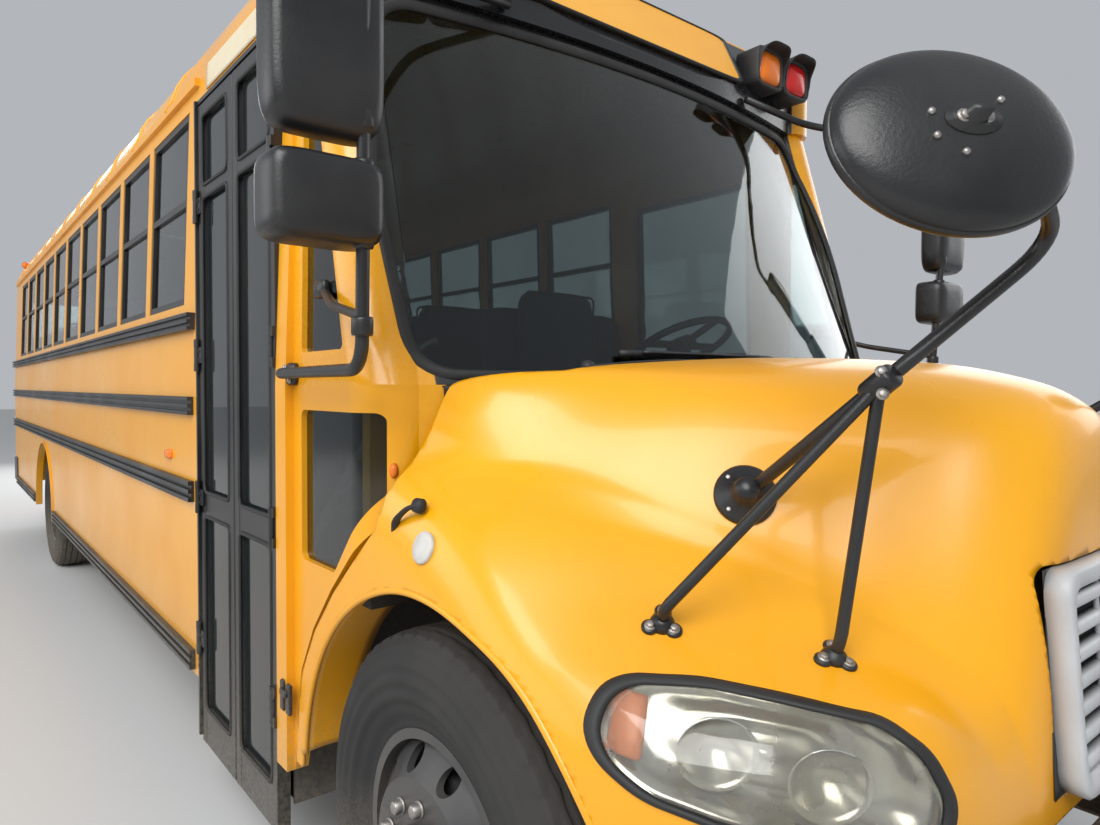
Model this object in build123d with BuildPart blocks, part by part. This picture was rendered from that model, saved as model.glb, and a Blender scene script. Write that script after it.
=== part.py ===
from build123d import *
import math
import os

# School bus with a conventional hood. Millimetres, +X forward, +Y to the driver's side, +Z up.
# The origin is on the ground, under the middle of the overall length.

# Overall sizes
wheelbase = 6579
front_overhang = 1060
rear_overhang = 2901
body_width = 2438
roof_height = 3160
front_axle_x = wheelbase / 2 + (rear_overhang - front_overhang) / 2
rear_axle_x = front_axle_x - wheelbase
bumper_front_x = front_axle_x + front_overhang
bumper_rear_x = rear_axle_x - rear_overhang
half_width = body_width / 2

# Body shell
wall = 40
waist_z = 1600
skirt_z = 480
eave_z = 2750
lean = math.tan(math.radians(2))
roof_corner_z = 3020
roof_corner_radius = 330
rear_wall_x = bumper_rear_x + 80
front_joint_x = front_axle_x - 700
cap_joint_x = front_axle_x - 1700
floor_z = 1070
floor_thickness = 35
fit = 0.3
running_gap = 5

# Side windows
window_pitch = 698.5
window_count = 10
window_width = 618
window_bottom = 1920
window_top = 2688
window_row_x = front_axle_x - 1798
sash_bar = 28
meeting_bar_z = 2332
glass_inset = 16
glass_thickness = 6

# Entrance doorway, on the -Y side
door_front_x = front_axle_x - 780
door_rear_x = front_axle_x - 1630
door_top_z = 2660
door_bottom_z = 240
post = 15
leaf_thickness = 38
leaf_gap = 10
door_mid_x = (door_front_x + door_rear_x) / 2
leaf_face_y = half_width - 9
hinge_radius = 10
hinge_heights = (2265, 1711, 1177, 640)

# Wheels
tyre_radius = 520
tyre_width = 279
rim_radius = 286
rim_wall = 12
flange_radius = 298
rim_width = 215
front_track_y = 1040
outer_dual_y = 1039
inner_dual_y = 709
arch_radius = 620
rear_arch_radius = 575
flare = 15
kingpin_y = 900
spindle_radius = 45
front_disc = 140
disc_plate = 14
dish_radius = 200
hub_radius = 100
drum_radius = 205
hand_holes = 10
hand_hole_circle = 234
hand_hole_radius = 27

# Chassis
rail_y = 430
rail_top = 940
rail_height = 250
rail_flange = 80
rail_wall = 8
horn_top = 700
horn_height = 220
bumper_low = 430
bumper_high = 730
bumper_wall = 10

# Hood
hood_wall = 12
hood_gap = 22
hood_low = 520
fascia_low = 755
corner_radius = 790
nose_low_x = front_axle_x + 1000
nose_high_x = front_axle_x + 965
nose_high_z = 1250
nose_brow_x = front_axle_x + 945
nose_brow_z = 1570
nose_bend = 200
hood_bend = 14
pivot_x = front_axle_x + 980
pivot_z = 735
grille_half = 354
grille_low = 800

# Roof hatches and rear door
hatch_size = 600
hatch_places = (front_axle_x - 3250, front_axle_x - 7100)
hatch_rim_top = 3178
hatch_lid = 26
rear_door_width = 930
rear_door_low = 1080
rear_door_high = 2620

# Seats
seat_width = 985
seat_depth = 400
seat_back = 75
seat_z = 1520
seat_top = 2080
row_x = front_axle_x - 2020

os.makedirs("parts", exist_ok=True)


def block(x_from, x_to, y_from, y_to, z_from, z_to):
    """A box between two corners."""
    with BuildPart() as shape:
        with Locations(((x_from + x_to) / 2, (y_from + y_to) / 2, (z_from + z_to) / 2)):
            Box(abs(x_to - x_from), abs(y_to - y_from), abs(z_to - z_from))
    return shape.part


def side_prism(outline, y_from, y_to, rounding=0):
    """An outline of (x, z) points, extruded across the bus."""
    with BuildPart() as shape:
        with BuildSketch(Plane.XZ.offset(-y_to)) as sketch:
            with BuildLine():
                Polyline(*outline, close=True)
            make_face()
            if rounding > 0:
                fillet(sketch.vertices(), rounding)
        extrude(amount=y_to - y_from)
    return shape.part


def front_prism(outline, x_from, x_to, rounding=0):
    """An outline of (y, z) points, extruded along the bus."""
    with BuildPart() as shape:
        with BuildSketch(Plane.YZ.offset(x_from)) as sketch:
            with BuildLine():
                Polyline(*outline, close=True)
            make_face()
            if rounding > 0:
                fillet(sketch.vertices(), rounding)
        extrude(amount=x_to - x_from)
    return shape.part


def rod(start, end, radius):
    """A round bar from one point to another."""
    length = (Vector(*end) - Vector(*start)).length
    with BuildPart() as shape:
        with BuildSketch(Plane(origin=start, z_dir=Vector(*end) - Vector(*start))):
            Circle(radius)
        extrude(amount=length)
    return shape.part


def bent_tube(points, radius):
    """Straight bars joined by balls at the bends."""
    with BuildPart() as shape:
        for start, end in zip(points[:-1], points[1:]):
            add(rod(start, end, radius))
        with Locations(*points[1:-1]):
            Sphere(radius)
    return shape.part


def both_sides(solid):
    """The solid and its mirror image on the other side of the bus."""
    with BuildPart() as shape:
        add(solid)
        mirror(about=Plane.XZ)
    return shape.part


def body_block(inset, x_from, x_to):
    """The body's section, from below the skirt to the roof, as one solid."""
    top_y = half_width - (roof_corner_z - waist_z) * lean - inset
    with BuildPart() as shape:
        with BuildSketch(Plane.YZ.offset(x_from)) as sketch:
            with BuildLine():
                Polyline((-top_y, roof_corner_z - inset), (inset - half_width, waist_z),
                         (inset - half_width, 0), (half_width - inset, 0),
                         (half_width - inset, waist_z), (top_y, roof_corner_z - inset))
                ThreePointArc((top_y, roof_corner_z - inset), (0, roof_height - inset),
                              (-top_y, roof_corner_z - inset))
            make_face()
            corners = sketch.vertices().group_by(Axis.Y)[-1]
            fillet(corners, roof_corner_radius - inset)
        extrude(amount=x_to - x_from)
    return shape.part


def front_outline(z, inset, shift, side_x, corner_x, corner_y, nose_x, side_y):
    """The curved plan of the front of the body, at one height."""
    with BuildSketch(Plane.XY.offset(z)) as sketch:
        with BuildLine():
            back_x = front_joint_x
            y = side_y - inset
            corner = (front_axle_x + corner_x - inset + shift, corner_y - inset)
            side = (front_axle_x + side_x - inset + shift, y)
            nose = (front_axle_x + nose_x - inset + shift, 0)
            TangentArc(side, corner, tangent=(1, 0))
            ThreePointArc(corner, nose, (corner[0], -corner[1]))
            TangentArc((side[0], -y), (corner[0], -corner[1]), tangent=(1, 0))
            Polyline(side, (back_x, y), (back_x, -y), (side[0], -y))
        make_face()
    return sketch.sketch


# Plan of the front at the waist and at the eave: side, corner x, corner y, nose, side y
# The cowl stands inside the hood's sides, which swing past it when the hood tilts
cowl_inset = 24
cowl_inner_y = half_width - cowl_inset - wall
waist_plan = (-330, -200, 1070, 50, half_width - cowl_inset)
eave_plan = (-640, -585, 1020, -480, half_width - (eave_z - waist_z) * lean)


def greenhouse_block(inset):
    """The tapering block between the waist and the eave, ahead of the side walls."""
    with BuildPart() as shape:
        loft([front_outline(waist_z, inset, 0, *waist_plan),
              front_outline(eave_z, inset, 0, *eave_plan)], ruled=True)
    return shape.part


def plan_block(plan, inset, shift, z_from, z_to):
    """One of the front's plans, extruded upwards."""
    with BuildPart() as shape:
        add(front_outline(z_from, inset, shift, *plan))
        extrude(amount=z_to - z_from)
    return shape.part


# Body shell, cut later into the panels that meet at its seams
shell_outer = body_block(0, rear_wall_x + wall, front_joint_x)
shell_inner = body_block(wall, rear_wall_x + wall, front_joint_x)
with BuildPart() as body_shell:
    add(shell_outer)
    add(shell_inner, mode=Mode.SUBTRACT)

# Outlines of the window openings, row by row
window_centres = [window_row_x - window_pitch * (n + 0.5) for n in range(window_count)]
driver_window = (front_axle_x - 1640, front_axle_x - 860, 1750, 2620)


def window_boxes(inset, low, high, y_from, y_to):
    """Boxes through the side walls at each passenger window."""
    with BuildPart() as shape:
        for centre in window_centres:
            half = window_width / 2 - inset
            add(block(centre - half, centre + half, y_from, y_to, low, high))
    return shape.part


# Side walls
def side_wall(side):
    """The wall on one side: -1 is the door side, +1 the driver's side."""
    y_in, y_out = (0, side * 2 * half_width)
    arch = rod((rear_axle_x, 0, tyre_radius), (rear_axle_x, side * 2 * half_width, tyre_radius),
               rear_arch_radius)
    flare_ring = rod((rear_axle_x, side * (half_width - wall), tyre_radius),
                     (rear_axle_x, side * (half_width + 12), tyre_radius),
                     rear_arch_radius + flare)
    with BuildPart() as shape:
        add(body_shell.part)
        add(block(rear_wall_x, front_joint_x, y_in, y_out, skirt_z, eave_z), mode=Mode.INTERSECT)
        add(flare_ring)
        add(arch, mode=Mode.SUBTRACT)
        add(block(rear_axle_x - 2 * tyre_radius, rear_axle_x + 2 * tyre_radius, y_in, y_out,
                  -tyre_radius, skirt_z), mode=Mode.SUBTRACT)
        add(window_boxes(0, window_bottom, window_top, y_in, y_out), mode=Mode.SUBTRACT)
    return shape.part


with BuildPart() as side_wall_right:
    add(side_wall(-1))
    add(block(door_rear_x, door_front_x, -2 * half_width, 0, 0, door_top_z), mode=Mode.SUBTRACT)
side_wall_right.part.label = "side_wall_right"
export_step(side_wall_right.part, "parts/side_wall_right.step")

stop_x = front_axle_x - 1890
stop_y = half_width + 42
stop_z = 1357
stop_low = stop_z - 90
stop_high = stop_z + 90
with BuildPart() as side_wall_left:
    add(side_wall(1))
    add(block(driver_window[0], driver_window[1], 0, 2 * half_width,
              driver_window[2], driver_window[3]), mode=Mode.SUBTRACT)
    add(block(stop_x - 60, stop_x + 60, half_width, stop_y - 16, stop_low - 30, stop_high + 30))
    for low, high in ((stop_low - 30, stop_low - fit), (stop_high + fit, stop_high + 30)):
        add(block(stop_x - 12, stop_x + 12, half_width, stop_y, low, high))
        add(rod((stop_x, stop_y, low), (stop_x, stop_y, high), 12))
side_wall_left.part.label = "side_wall_left"
export_step(side_wall_left.part, "parts/side_wall_left.step")

# Roof, with drip rails and the raised rims of two hatches
with BuildPart() as roof:
    add(body_shell.part)
    add(block(rear_wall_x, cap_joint_x, -2 * half_width, 2 * half_width, eave_z, 2 * roof_height),
        mode=Mode.INTERSECT)
    eave_y = half_width - (eave_z - waist_z) * lean
    for side in (-1, 1):
        add(block(rear_wall_x + wall, cap_joint_x, side * (eave_y - 12), side * (eave_y + 18),
                  eave_z, eave_z + 30))
    for hatch_x in hatch_places:
        half = hatch_size / 2
        add(block(hatch_x - half, hatch_x + half, -half, half, roof_height - 60, hatch_rim_top - fit))
        add(block(hatch_x + half, hatch_x + half + 24, -140, -90, roof_height - 20,
                  hatch_rim_top + hatch_lid / 2))
        add(block(hatch_x + half, hatch_x + half + 24, 90, 140, roof_height - 20,
                  hatch_rim_top + hatch_lid / 2))
        for start, end in ((-140, -90), (90, 140)):
            add(rod((hatch_x + half + 12, start, hatch_rim_top + hatch_lid / 2),
                    (hatch_x + half + 12, end, hatch_rim_top + hatch_lid / 2), 12))
        add(block(hatch_x - half + 25, hatch_x + half - 25, 25 - half, half - 25, eave_z,
                  2 * roof_height), mode=Mode.SUBTRACT)
roof.part.label = "roof"
export_step(roof.part, "parts/roof.step")

# Hatch lids, hinged at their front edges
hatch_hinge_z = hatch_rim_top + hatch_lid / 2
for name, hatch_x in zip(("roof_hatch_front", "roof_hatch_rear"), hatch_places):
    half = hatch_size / 2
    hinge_x = hatch_x + half + 12
    with BuildPart() as hatch:
        add(block(hatch_x - half, hatch_x + half - 2, -half, half, hatch_rim_top,
                  hatch_rim_top + hatch_lid))
        top_edges = hatch.edges().group_by(Axis.Z)[-1]
        fillet(top_edges, 14)
        add(rod((hinge_x, -90 + fit, hatch_hinge_z), (hinge_x, 90 - fit, hatch_hinge_z), 12))
        add(block(hatch_x + half - 30, hinge_x, -80, 80, hatch_hinge_z - 6, hatch_hinge_z + 6))
    hatch.part.label = name
    export_step(hatch.part, "parts/" + name + ".step")

# Front cap: brow and sign face over the windshield, with the posts beside it
sign_low = (front_axle_x - 462, 2785)
sign_high = (front_axle_x - 600, 3060)


def cap_block(inset):
    """The nose of the roof, rounded down to the windshield, as one solid."""
    profile = [(cap_joint_x, 0), (front_axle_x, 0), (front_axle_x, sign_low[1]),
               (sign_low[0] - inset, sign_low[1]), (sign_high[0] - inset, sign_high[1]),
               (sign_high[0] - 330, roof_height + 2), (cap_joint_x, roof_height + 2)]
    with BuildPart() as shape:
        add(body_block(inset, cap_joint_x, front_axle_x))
        add(side_prism(profile, -2 * half_width, 2 * half_width), mode=Mode.INTERSECT)
        add(block(cap_joint_x, front_axle_x, -2 * half_width, 2 * half_width, eave_z,
                  2 * roof_height), mode=Mode.INTERSECT)
        add(plan_block(eave_plan, inset, 22, eave_z, 2 * roof_height)
            + block(cap_joint_x, front_joint_x, -2 * half_width, 2 * half_width, eave_z,
                    2 * roof_height), mode=Mode.INTERSECT)
    return shape.part


cap_solid = cap_block(0)
windshield_outline = [(-1075, 1622), (-1112, 2150), (-1000, 2708), (1000, 2708), (1112, 2150),
                      (1075, 1622)]
cowl_window = [(front_axle_x - 640, 1690), (front_axle_x - 640, 2560),
               (front_axle_x - 600, 2560), (front_axle_x - 365, 1690)]
windshield_rounding = ((1622, 130), (2150, 500), (2708, 150))
with BuildPart() as glass_prism:
    with BuildSketch(Plane.YZ.offset(front_joint_x + 60)) as glass_sketch:
        with BuildLine():
            Polyline(*windshield_outline, close=True)
        make_face()
        for corner_z, radius in windshield_rounding:
            fillet(glass_sketch.vertices().filter_by(
                lambda vertex: abs(vertex.Y - corner_z) < 1), radius)
    extrude(amount=front_axle_x + 200 - front_joint_x - 60)
glass_region = glass_prism.part
cowl_region = side_prism(cowl_window, -2 * half_width, 2 * half_width, 15)
with BuildPart() as front_cap:
    add(cap_solid)
    add(cap_block(wall), mode=Mode.SUBTRACT)
    add(greenhouse_block(0))
    add(greenhouse_block(wall), mode=Mode.SUBTRACT)
    add(glass_region, mode=Mode.SUBTRACT)
    add(cowl_region, mode=Mode.SUBTRACT)
front_cap.part.label = "front_cap"
export_step(front_cap.part, "parts/front_cap.step")

with BuildPart() as windshield:
    add(greenhouse_block(8))
    add(greenhouse_block(8 + glass_thickness), mode=Mode.SUBTRACT)
    add(glass_region, mode=Mode.INTERSECT)
windshield.part.label = "windshield"
export_step(windshield.part, "parts/windshield.step")

# Cowl: side panels with low windows, firewall behind the engine
cowl_edge = [(-687, hood_low), (-677, 649), (-647, 791), (-560, 930), (-442, 1060),
             (-237, 1250), (-172, 1500), (-172, waist_z)]
cowl_side = [(front_axle_x + x, z) for x, z in cowl_edge]
cowl_profile = [(front_joint_x, skirt_z)] + cowl_side + [(front_joint_x, waist_z)]
low_window = [(front_axle_x - 640, 1110), (front_axle_x - 640, 1530),
              (front_axle_x - 226, 1530), (front_axle_x - 226, 1330), (front_axle_x - 420, 1110)]
firewall_x = front_axle_x - 330
low_region = side_prism(low_window, -2 * half_width, 2 * half_width, 22)
with BuildPart() as cowl:
    add(plan_block(waist_plan, 0, 0, skirt_z, waist_z))
    add(plan_block(waist_plan, wall, 0, skirt_z, waist_z), mode=Mode.SUBTRACT)
    add(side_prism(cowl_profile, -2 * half_width, 2 * half_width), mode=Mode.INTERSECT)
    add(low_region, mode=Mode.SUBTRACT)
    add(block(firewall_x, firewall_x + wall, -cowl_inner_y, cowl_inner_y, floor_z, waist_z - 60))
cowl.part.label = "cowl"
export_step(cowl.part, "parts/cowl.step")

# Vent strip between hood and windshield
vent_shift = 100
with BuildPart() as cowl_vent:
    add(plan_block(waist_plan, wall, vent_shift, waist_z - 60, waist_z))
    add(block(firewall_x, front_axle_x + 400, wall - half_width, half_width - wall,
              0, 2 * waist_z), mode=Mode.INTERSECT)
    add(side_prism([(front_axle_x - 172 - wall, waist_z - 60),
                    (front_axle_x + 400, waist_z - 60), (front_axle_x + 400, waist_z - 30),
                    (front_axle_x - 172 - wall, waist_z)], -2 * half_width, 2 * half_width),
        mode=Mode.INTERSECT)
    add(cowl.part, mode=Mode.SUBTRACT)
cowl_vent.part.label = "cowl_vent"
export_step(cowl_vent.part, "parts/cowl_vent.step")

with BuildPart() as cowl_glass:
    add(greenhouse_block(glass_inset))
    add(greenhouse_block(glass_inset + glass_thickness), mode=Mode.SUBTRACT)
    add(cowl_region, mode=Mode.INTERSECT)
with BuildPart() as low_glass:
    add(plan_block(waist_plan, glass_inset, 0, skirt_z, waist_z))
    add(plan_block(waist_plan, glass_inset + glass_thickness, 0, skirt_z, waist_z),
        mode=Mode.SUBTRACT)
    add(low_region, mode=Mode.INTERSECT)
with BuildPart() as cowl_windows:
    add(cowl_glass.part)
    add(low_glass.part)
cowl_windows.part.label = "cowl_windows"
export_step(cowl_windows.part, "parts/cowl_windows.step")

# Window sashes and panes follow the leaning wall
frame_layer = body_block(4, rear_wall_x + wall, front_joint_x) - body_block(34, rear_wall_x + wall,
                                                                             front_joint_x)
pane_layer = body_block(glass_inset, rear_wall_x + wall, front_joint_x) - body_block(
    glass_inset + glass_thickness, rear_wall_x + wall, front_joint_x)
with BuildPart() as pane_region:
    add(window_boxes(sash_bar, window_bottom + sash_bar, meeting_bar_z - sash_bar / 2,
                     -2 * half_width, 2 * half_width))
    add(window_boxes(sash_bar, meeting_bar_z + sash_bar / 2, window_top - sash_bar,
                     -2 * half_width, 2 * half_width))
    add(block(driver_window[0] + sash_bar, driver_window[1] - sash_bar, 0, 2 * half_width,
              driver_window[2] + sash_bar, driver_window[3] - sash_bar))
with BuildPart() as window_frames:
    add(window_boxes(0, window_bottom, window_top, -2 * half_width, 2 * half_width))
    add(block(driver_window[0], driver_window[1], 0, 2 * half_width, driver_window[2],
              driver_window[3]))
    add(pane_region.part, mode=Mode.SUBTRACT)
    add(frame_layer, mode=Mode.INTERSECT)
window_frames.part.label = "window_frames"
export_step(window_frames.part, "parts/window_frames.step")

with BuildPart() as window_glass:
    add(pane_region.part)
    add(pane_layer, mode=Mode.INTERSECT)
window_glass.part.label = "window_glass"
export_step(window_glass.part, "parts/window_glass.step")

# Rear wall with the emergency doorway and two windows
rear_window = (540, 1040, window_bottom, 2580)
with BuildPart() as rear_wall:
    add(body_block(0, rear_wall_x, rear_wall_x + wall))
    add(block(rear_wall_x, rear_wall_x + wall, -2 * half_width, 2 * half_width, skirt_z,
              2 * roof_height), mode=Mode.INTERSECT)
    fillet(rear_wall.edges().group_by(Axis.X)[0].sort_by(Axis.Z)[1:], 34)
    add(block(rear_wall_x - 50, rear_wall_x + wall, -rear_door_width / 2 - running_gap,
              rear_door_width / 2 + running_gap, rear_door_low - running_gap,
              rear_door_high + running_gap), mode=Mode.SUBTRACT)
    for side in (-1, 1):
        add(block(rear_wall_x - 50, rear_wall_x + wall, side * rear_window[0],
                  side * rear_window[1], rear_window[2], rear_window[3]), mode=Mode.SUBTRACT)
    rear_hinge_x = rear_wall_x - 11
    rear_hinge_y = -rear_door_width / 2 - 4
    for hinge_z in (1250, 1800, 2350):
        for low, high in ((hinge_z - 70, hinge_z - 35 - fit), (hinge_z + 35 + fit, hinge_z + 70)):
            add(rod((rear_hinge_x, rear_hinge_y, low), (rear_hinge_x, rear_hinge_y, high), 10))
            add(block(rear_hinge_x - 4, rear_wall_x, rear_hinge_y - 40, rear_hinge_y, low, high))
rear_wall.part.label = "rear_wall"
export_step(rear_wall.part, "parts/rear_wall.step")

with BuildPart() as rear_glass:
    for side in (-1, 1):
        add(block(rear_wall_x + 12, rear_wall_x + 18, side * rear_window[0],
                  side * rear_window[1], rear_window[2], rear_window[3]))
rear_glass.part.label = "rear_glass"
export_step(rear_glass.part, "parts/rear_glass.step")

# Emergency door: leaf with two windows, its hinge barrels and a handle
with BuildPart() as rear_door:
    half = rear_door_width / 2
    add(block(rear_wall_x, rear_wall_x + wall, -half, half, rear_door_low, rear_door_high))
    for low, high in ((1230, 1700), (window_bottom, 2540)):
        add(block(rear_wall_x - 50, rear_wall_x + 50, -340, 340, low, high), mode=Mode.SUBTRACT)
        add(block(rear_wall_x + 12, rear_wall_x + 18, -340, 340, low, high))
    for hinge_z in (1250, 1800, 2350):
        add(rod((rear_hinge_x, rear_hinge_y, hinge_z - 35), (rear_hinge_x, rear_hinge_y, hinge_z + 35),
                10))
        add(block(rear_hinge_x - 4, rear_wall_x, rear_hinge_y, rear_hinge_y + 60,
                  hinge_z - 35, hinge_z + 35))
    add(block(rear_wall_x - 34, rear_wall_x, 392, 412, 1690, 1710))
    add(block(rear_wall_x - 50, rear_wall_x - 34, 260, 412, 1690, 1710))
rear_door.part.label = "rear_door"
export_step(rear_door.part, "parts/rear_door.step")

# Floor on its cross sills, with boxes over the rear wheels
box_half_length = 610
box_inner_y = 540
box_top = 1230
inner_y = half_width - wall
well_inner_y = -452
with BuildPart() as floor:
    add(block(rear_wall_x + wall, firewall_x + wall, -inner_y, inner_y, floor_z - floor_thickness,
              floor_z))
    sill_x = rear_wall_x + wall + 120
    while sill_x < door_rear_x - 100:
        add(block(sill_x - 25, sill_x + 25, -inner_y, inner_y, rail_top,
                  floor_z - floor_thickness))
        sill_x = sill_x + window_pitch
    for side in (-1, 1):
        add(block(rear_axle_x - box_half_length, rear_axle_x + box_half_length,
                  side * box_inner_y, side * inner_y, 0, 2 * floor_z), mode=Mode.SUBTRACT)
        add(block(front_joint_x, firewall_x + wall, side * cowl_inner_y, side * inner_y, 0,
                  2 * floor_z), mode=Mode.SUBTRACT)
    add(block(door_rear_x, door_front_x, -half_width, well_inner_y, 0, 2 * floor_z),
        mode=Mode.SUBTRACT)
floor.part.label = "floor"
export_step(floor.part, "parts/floor.step")

# Sheet boxes over the rear wheels, set into the floor
box_wall = 8
with BuildPart() as wheel_boxes:
    for side in (-1, 1):
        add(block(rear_axle_x - box_half_length, rear_axle_x + box_half_length,
                  side * box_inner_y, side * inner_y, floor_z - floor_thickness, box_top))
        add(block(rear_axle_x - box_half_length + box_wall, rear_axle_x + box_half_length - box_wall,
                  side * (box_inner_y + box_wall), side * inner_y, 0, box_top - box_wall),
            mode=Mode.SUBTRACT)
wheel_boxes.part.label = "wheel_boxes"
export_step(wheel_boxes.part, "parts/wheel_boxes.step")

# Stepwell: three treads between two side plates
tread_heights = (350, 590, 830)
well_outer_y = -(leaf_face_y - leaf_thickness - 7)
tread_depth = (well_inner_y - well_outer_y) / 3
plate = 6
with BuildPart() as stepwell:
    for number, tread_z in enumerate(tread_heights):
        outer = well_outer_y + tread_depth * number
        next_z = (tread_heights + (floor_z,))[number + 1]
        add(block(door_rear_x + post, door_front_x - post, outer, outer + tread_depth,
                  tread_z - plate, tread_z))
        add(block(door_rear_x + post, door_front_x - post, outer + tread_depth - plate,
                  outer + tread_depth, tread_z - plate, next_z))
    for plate_x in (door_rear_x + post - 10, door_front_x - post):
        add(block(plate_x, plate_x + 10, well_outer_y, well_inner_y, 330, floor_z))
stepwell.part.label = "stepwell"
export_step(stepwell.part, "parts/stepwell.step")

# Door frame: posts, header and the fixed halves of the hinges
pin_offset = 26
front_pin_x = door_front_x - pin_offset
rear_pin_x = door_rear_x + pin_offset
pin_y = -(half_width + 3)
barrel_half = 30
with BuildPart() as door_frame:
    for x_from, x_to in ((door_front_x - post, door_front_x), (door_rear_x, door_rear_x + post)):
        add(block(x_from, x_to, -half_width, -(half_width - wall), door_bottom_z + 20, door_top_z))
    add(block(door_rear_x, door_front_x, -(half_width - 9), -(half_width - wall),
              door_top_z - post, door_top_z))
    for pin_x, edge_x in ((front_pin_x, door_front_x - 2), (rear_pin_x, door_rear_x + 2)):
        for hinge_z in hinge_heights:
            for low, high in ((hinge_z - barrel_half - 30, hinge_z - barrel_half - fit),
                              (hinge_z + barrel_half + fit, hinge_z + barrel_half + 30)):
                add(rod((pin_x, pin_y, low), (pin_x, pin_y, high), hinge_radius))
                add(block(pin_x, edge_x, pin_y - 5, -half_width, low, high))
door_frame.part.label = "door_frame"
export_step(door_frame.part, "parts/door_frame.step")


def door_leaf(pin_x, free_x):
    """One leaf of the entrance door, from its hinge side to its free edge."""
    side = 1 if free_x > pin_x else -1
    hinge_x = pin_x - side * 6
    outer_y = -leaf_face_y
    inner_leaf_y = outer_y + leaf_thickness
    with BuildPart() as leaf:
        add(block(hinge_x, free_x, outer_y, inner_leaf_y, door_bottom_z, door_top_z - post - 5))
        # Glass openings: lower pane, tall upper pane, dark top panel
        for low, high in ((380, 1110), (1200, 2290), (2335, door_top_z - post - 55)):
            add(block(hinge_x + side * 50, free_x - side * 50, outer_y - 10, inner_leaf_y + 10,
                      low, high), mode=Mode.SUBTRACT)
            add(block(hinge_x + side * 50, free_x - side * 50, outer_y + 14, outer_y + 20,
                      low, high))
        for hinge_z in hinge_heights:
            add(rod((pin_x, pin_y, hinge_z - barrel_half), (pin_x, pin_y, hinge_z + barrel_half),
                    hinge_radius))
            add(block(pin_x, pin_x + side * 44, pin_y + 2, outer_y, hinge_z - barrel_half,
                      hinge_z + barrel_half))
    return leaf.part


for name, pin_x, free_x in (("door_leaf_front", front_pin_x, door_mid_x + leaf_gap / 2),
                            ("door_leaf_rear", rear_pin_x, door_mid_x - leaf_gap / 2)):
    with BuildPart() as leaf_part:
        add(door_leaf(pin_x, free_x))
    leaf_part.part.label = name
    export_step(leaf_part.part, "parts/" + name + ".step")

# Rub rails: height of the lower edge, height of the rail, and the stretches along the bus
arch_front = rear_axle_x + rear_arch_radius + 70
arch_rear = rear_axle_x - rear_arch_radius - 70
wall_rear = rear_wall_x + wall
right_start = door_rear_x - 40
left_start = front_joint_x - 20
rub_rail_table = (
    # low, high, list of (side, from, to)
    (500, 575, ((-1, arch_front, right_start), (-1, wall_rear + 280, arch_rear),
                (1, arch_front, left_start), (1, wall_rear + 280, arch_rear))),
    (1150, 1230, ((-1, wall_rear, right_start), (1, wall_rear, left_start))),
    (1485, 1555, ((-1, wall_rear, right_start), (1, wall_rear, left_start))),
    (1812, 1877, ((-1, wall_rear, right_start), (1, wall_rear, door_rear_x - 40))),
)
with BuildPart() as rub_rails:
    for low, high, stretches in rub_rail_table:
        base_y = half_width - max(0, low - waist_z) * lean - 6 * (low > waist_z)
        for side, start, end in stretches:
            add(block(start, end, side * base_y, side * (half_width + 10), low, high))
            ridge = (high - low) / 5
            for number in (0, 2, 4):
                add(block(start, end, side * (half_width + 10), side * (half_width + 22),
                          low + ridge * number, low + ridge * (number + 1)))
    add(body_block(0, wall_rear, front_joint_x), mode=Mode.SUBTRACT)
rub_rails.part.label = "rub_rails"
export_step(rub_rails.part, "parts/rub_rails.step")

# Chassis frame: two channels, cross members and dropped horns for the bumper
rail_front = front_axle_x + 660
horn_start = front_axle_x + 560
bumper_back = bumper_front_x - bumper_wall
rear_bumper_back = bumper_rear_x + bumper_wall


def channel(x_from, x_to, side, low, high):
    """A frame rail with its flanges turned inwards."""
    outer = side * rail_y
    inner = side * (rail_y - rail_flange)
    web = side * (rail_y - rail_wall)
    outline = [(outer, low), (outer, high), (inner, high), (inner, high - rail_wall),
               (web, high - rail_wall), (web, low + rail_wall), (inner, low + rail_wall),
               (inner, low)]
    return front_prism(outline, x_from, x_to)


cross_member_xs = [rear_wall_x + 180] + [rear_axle_x + x for x in (-1500, -620, 620, 1700, 2900, 4100)]
with BuildPart() as chassis_frame:
    for side in (-1, 1):
        add(channel(rear_wall_x + wall, rail_front, side, rail_top - rail_height, rail_top))
        add(channel(horn_start, bumper_back, side, horn_top - horn_height, horn_top))
    for member_x in cross_member_xs:
        add(block(member_x, member_x + 60, rail_wall - rail_y, rail_y - rail_wall,
                  rail_top - 150, rail_top - 50))
    add(block(pivot_x - 40, pivot_x + 40, rail_wall - rail_y, rail_y - rail_wall,
              horn_top - 150, horn_top - 60))
    # Ears that carry the hood's front pivots
    for side in (-1, 1):
        for near, far in ((300, 330 - fit), (370 + fit, 400)):
            add(block(pivot_x - 14, pivot_x + 14, side * near, side * far, horn_top - 60, pivot_z))
            add(rod((pivot_x, side * near, pivot_z), (pivot_x, side * far, pivot_z), 14))
chassis_frame.part.label = "chassis_frame"
export_step(chassis_frame.part, "parts/chassis_frame.step")

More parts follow.
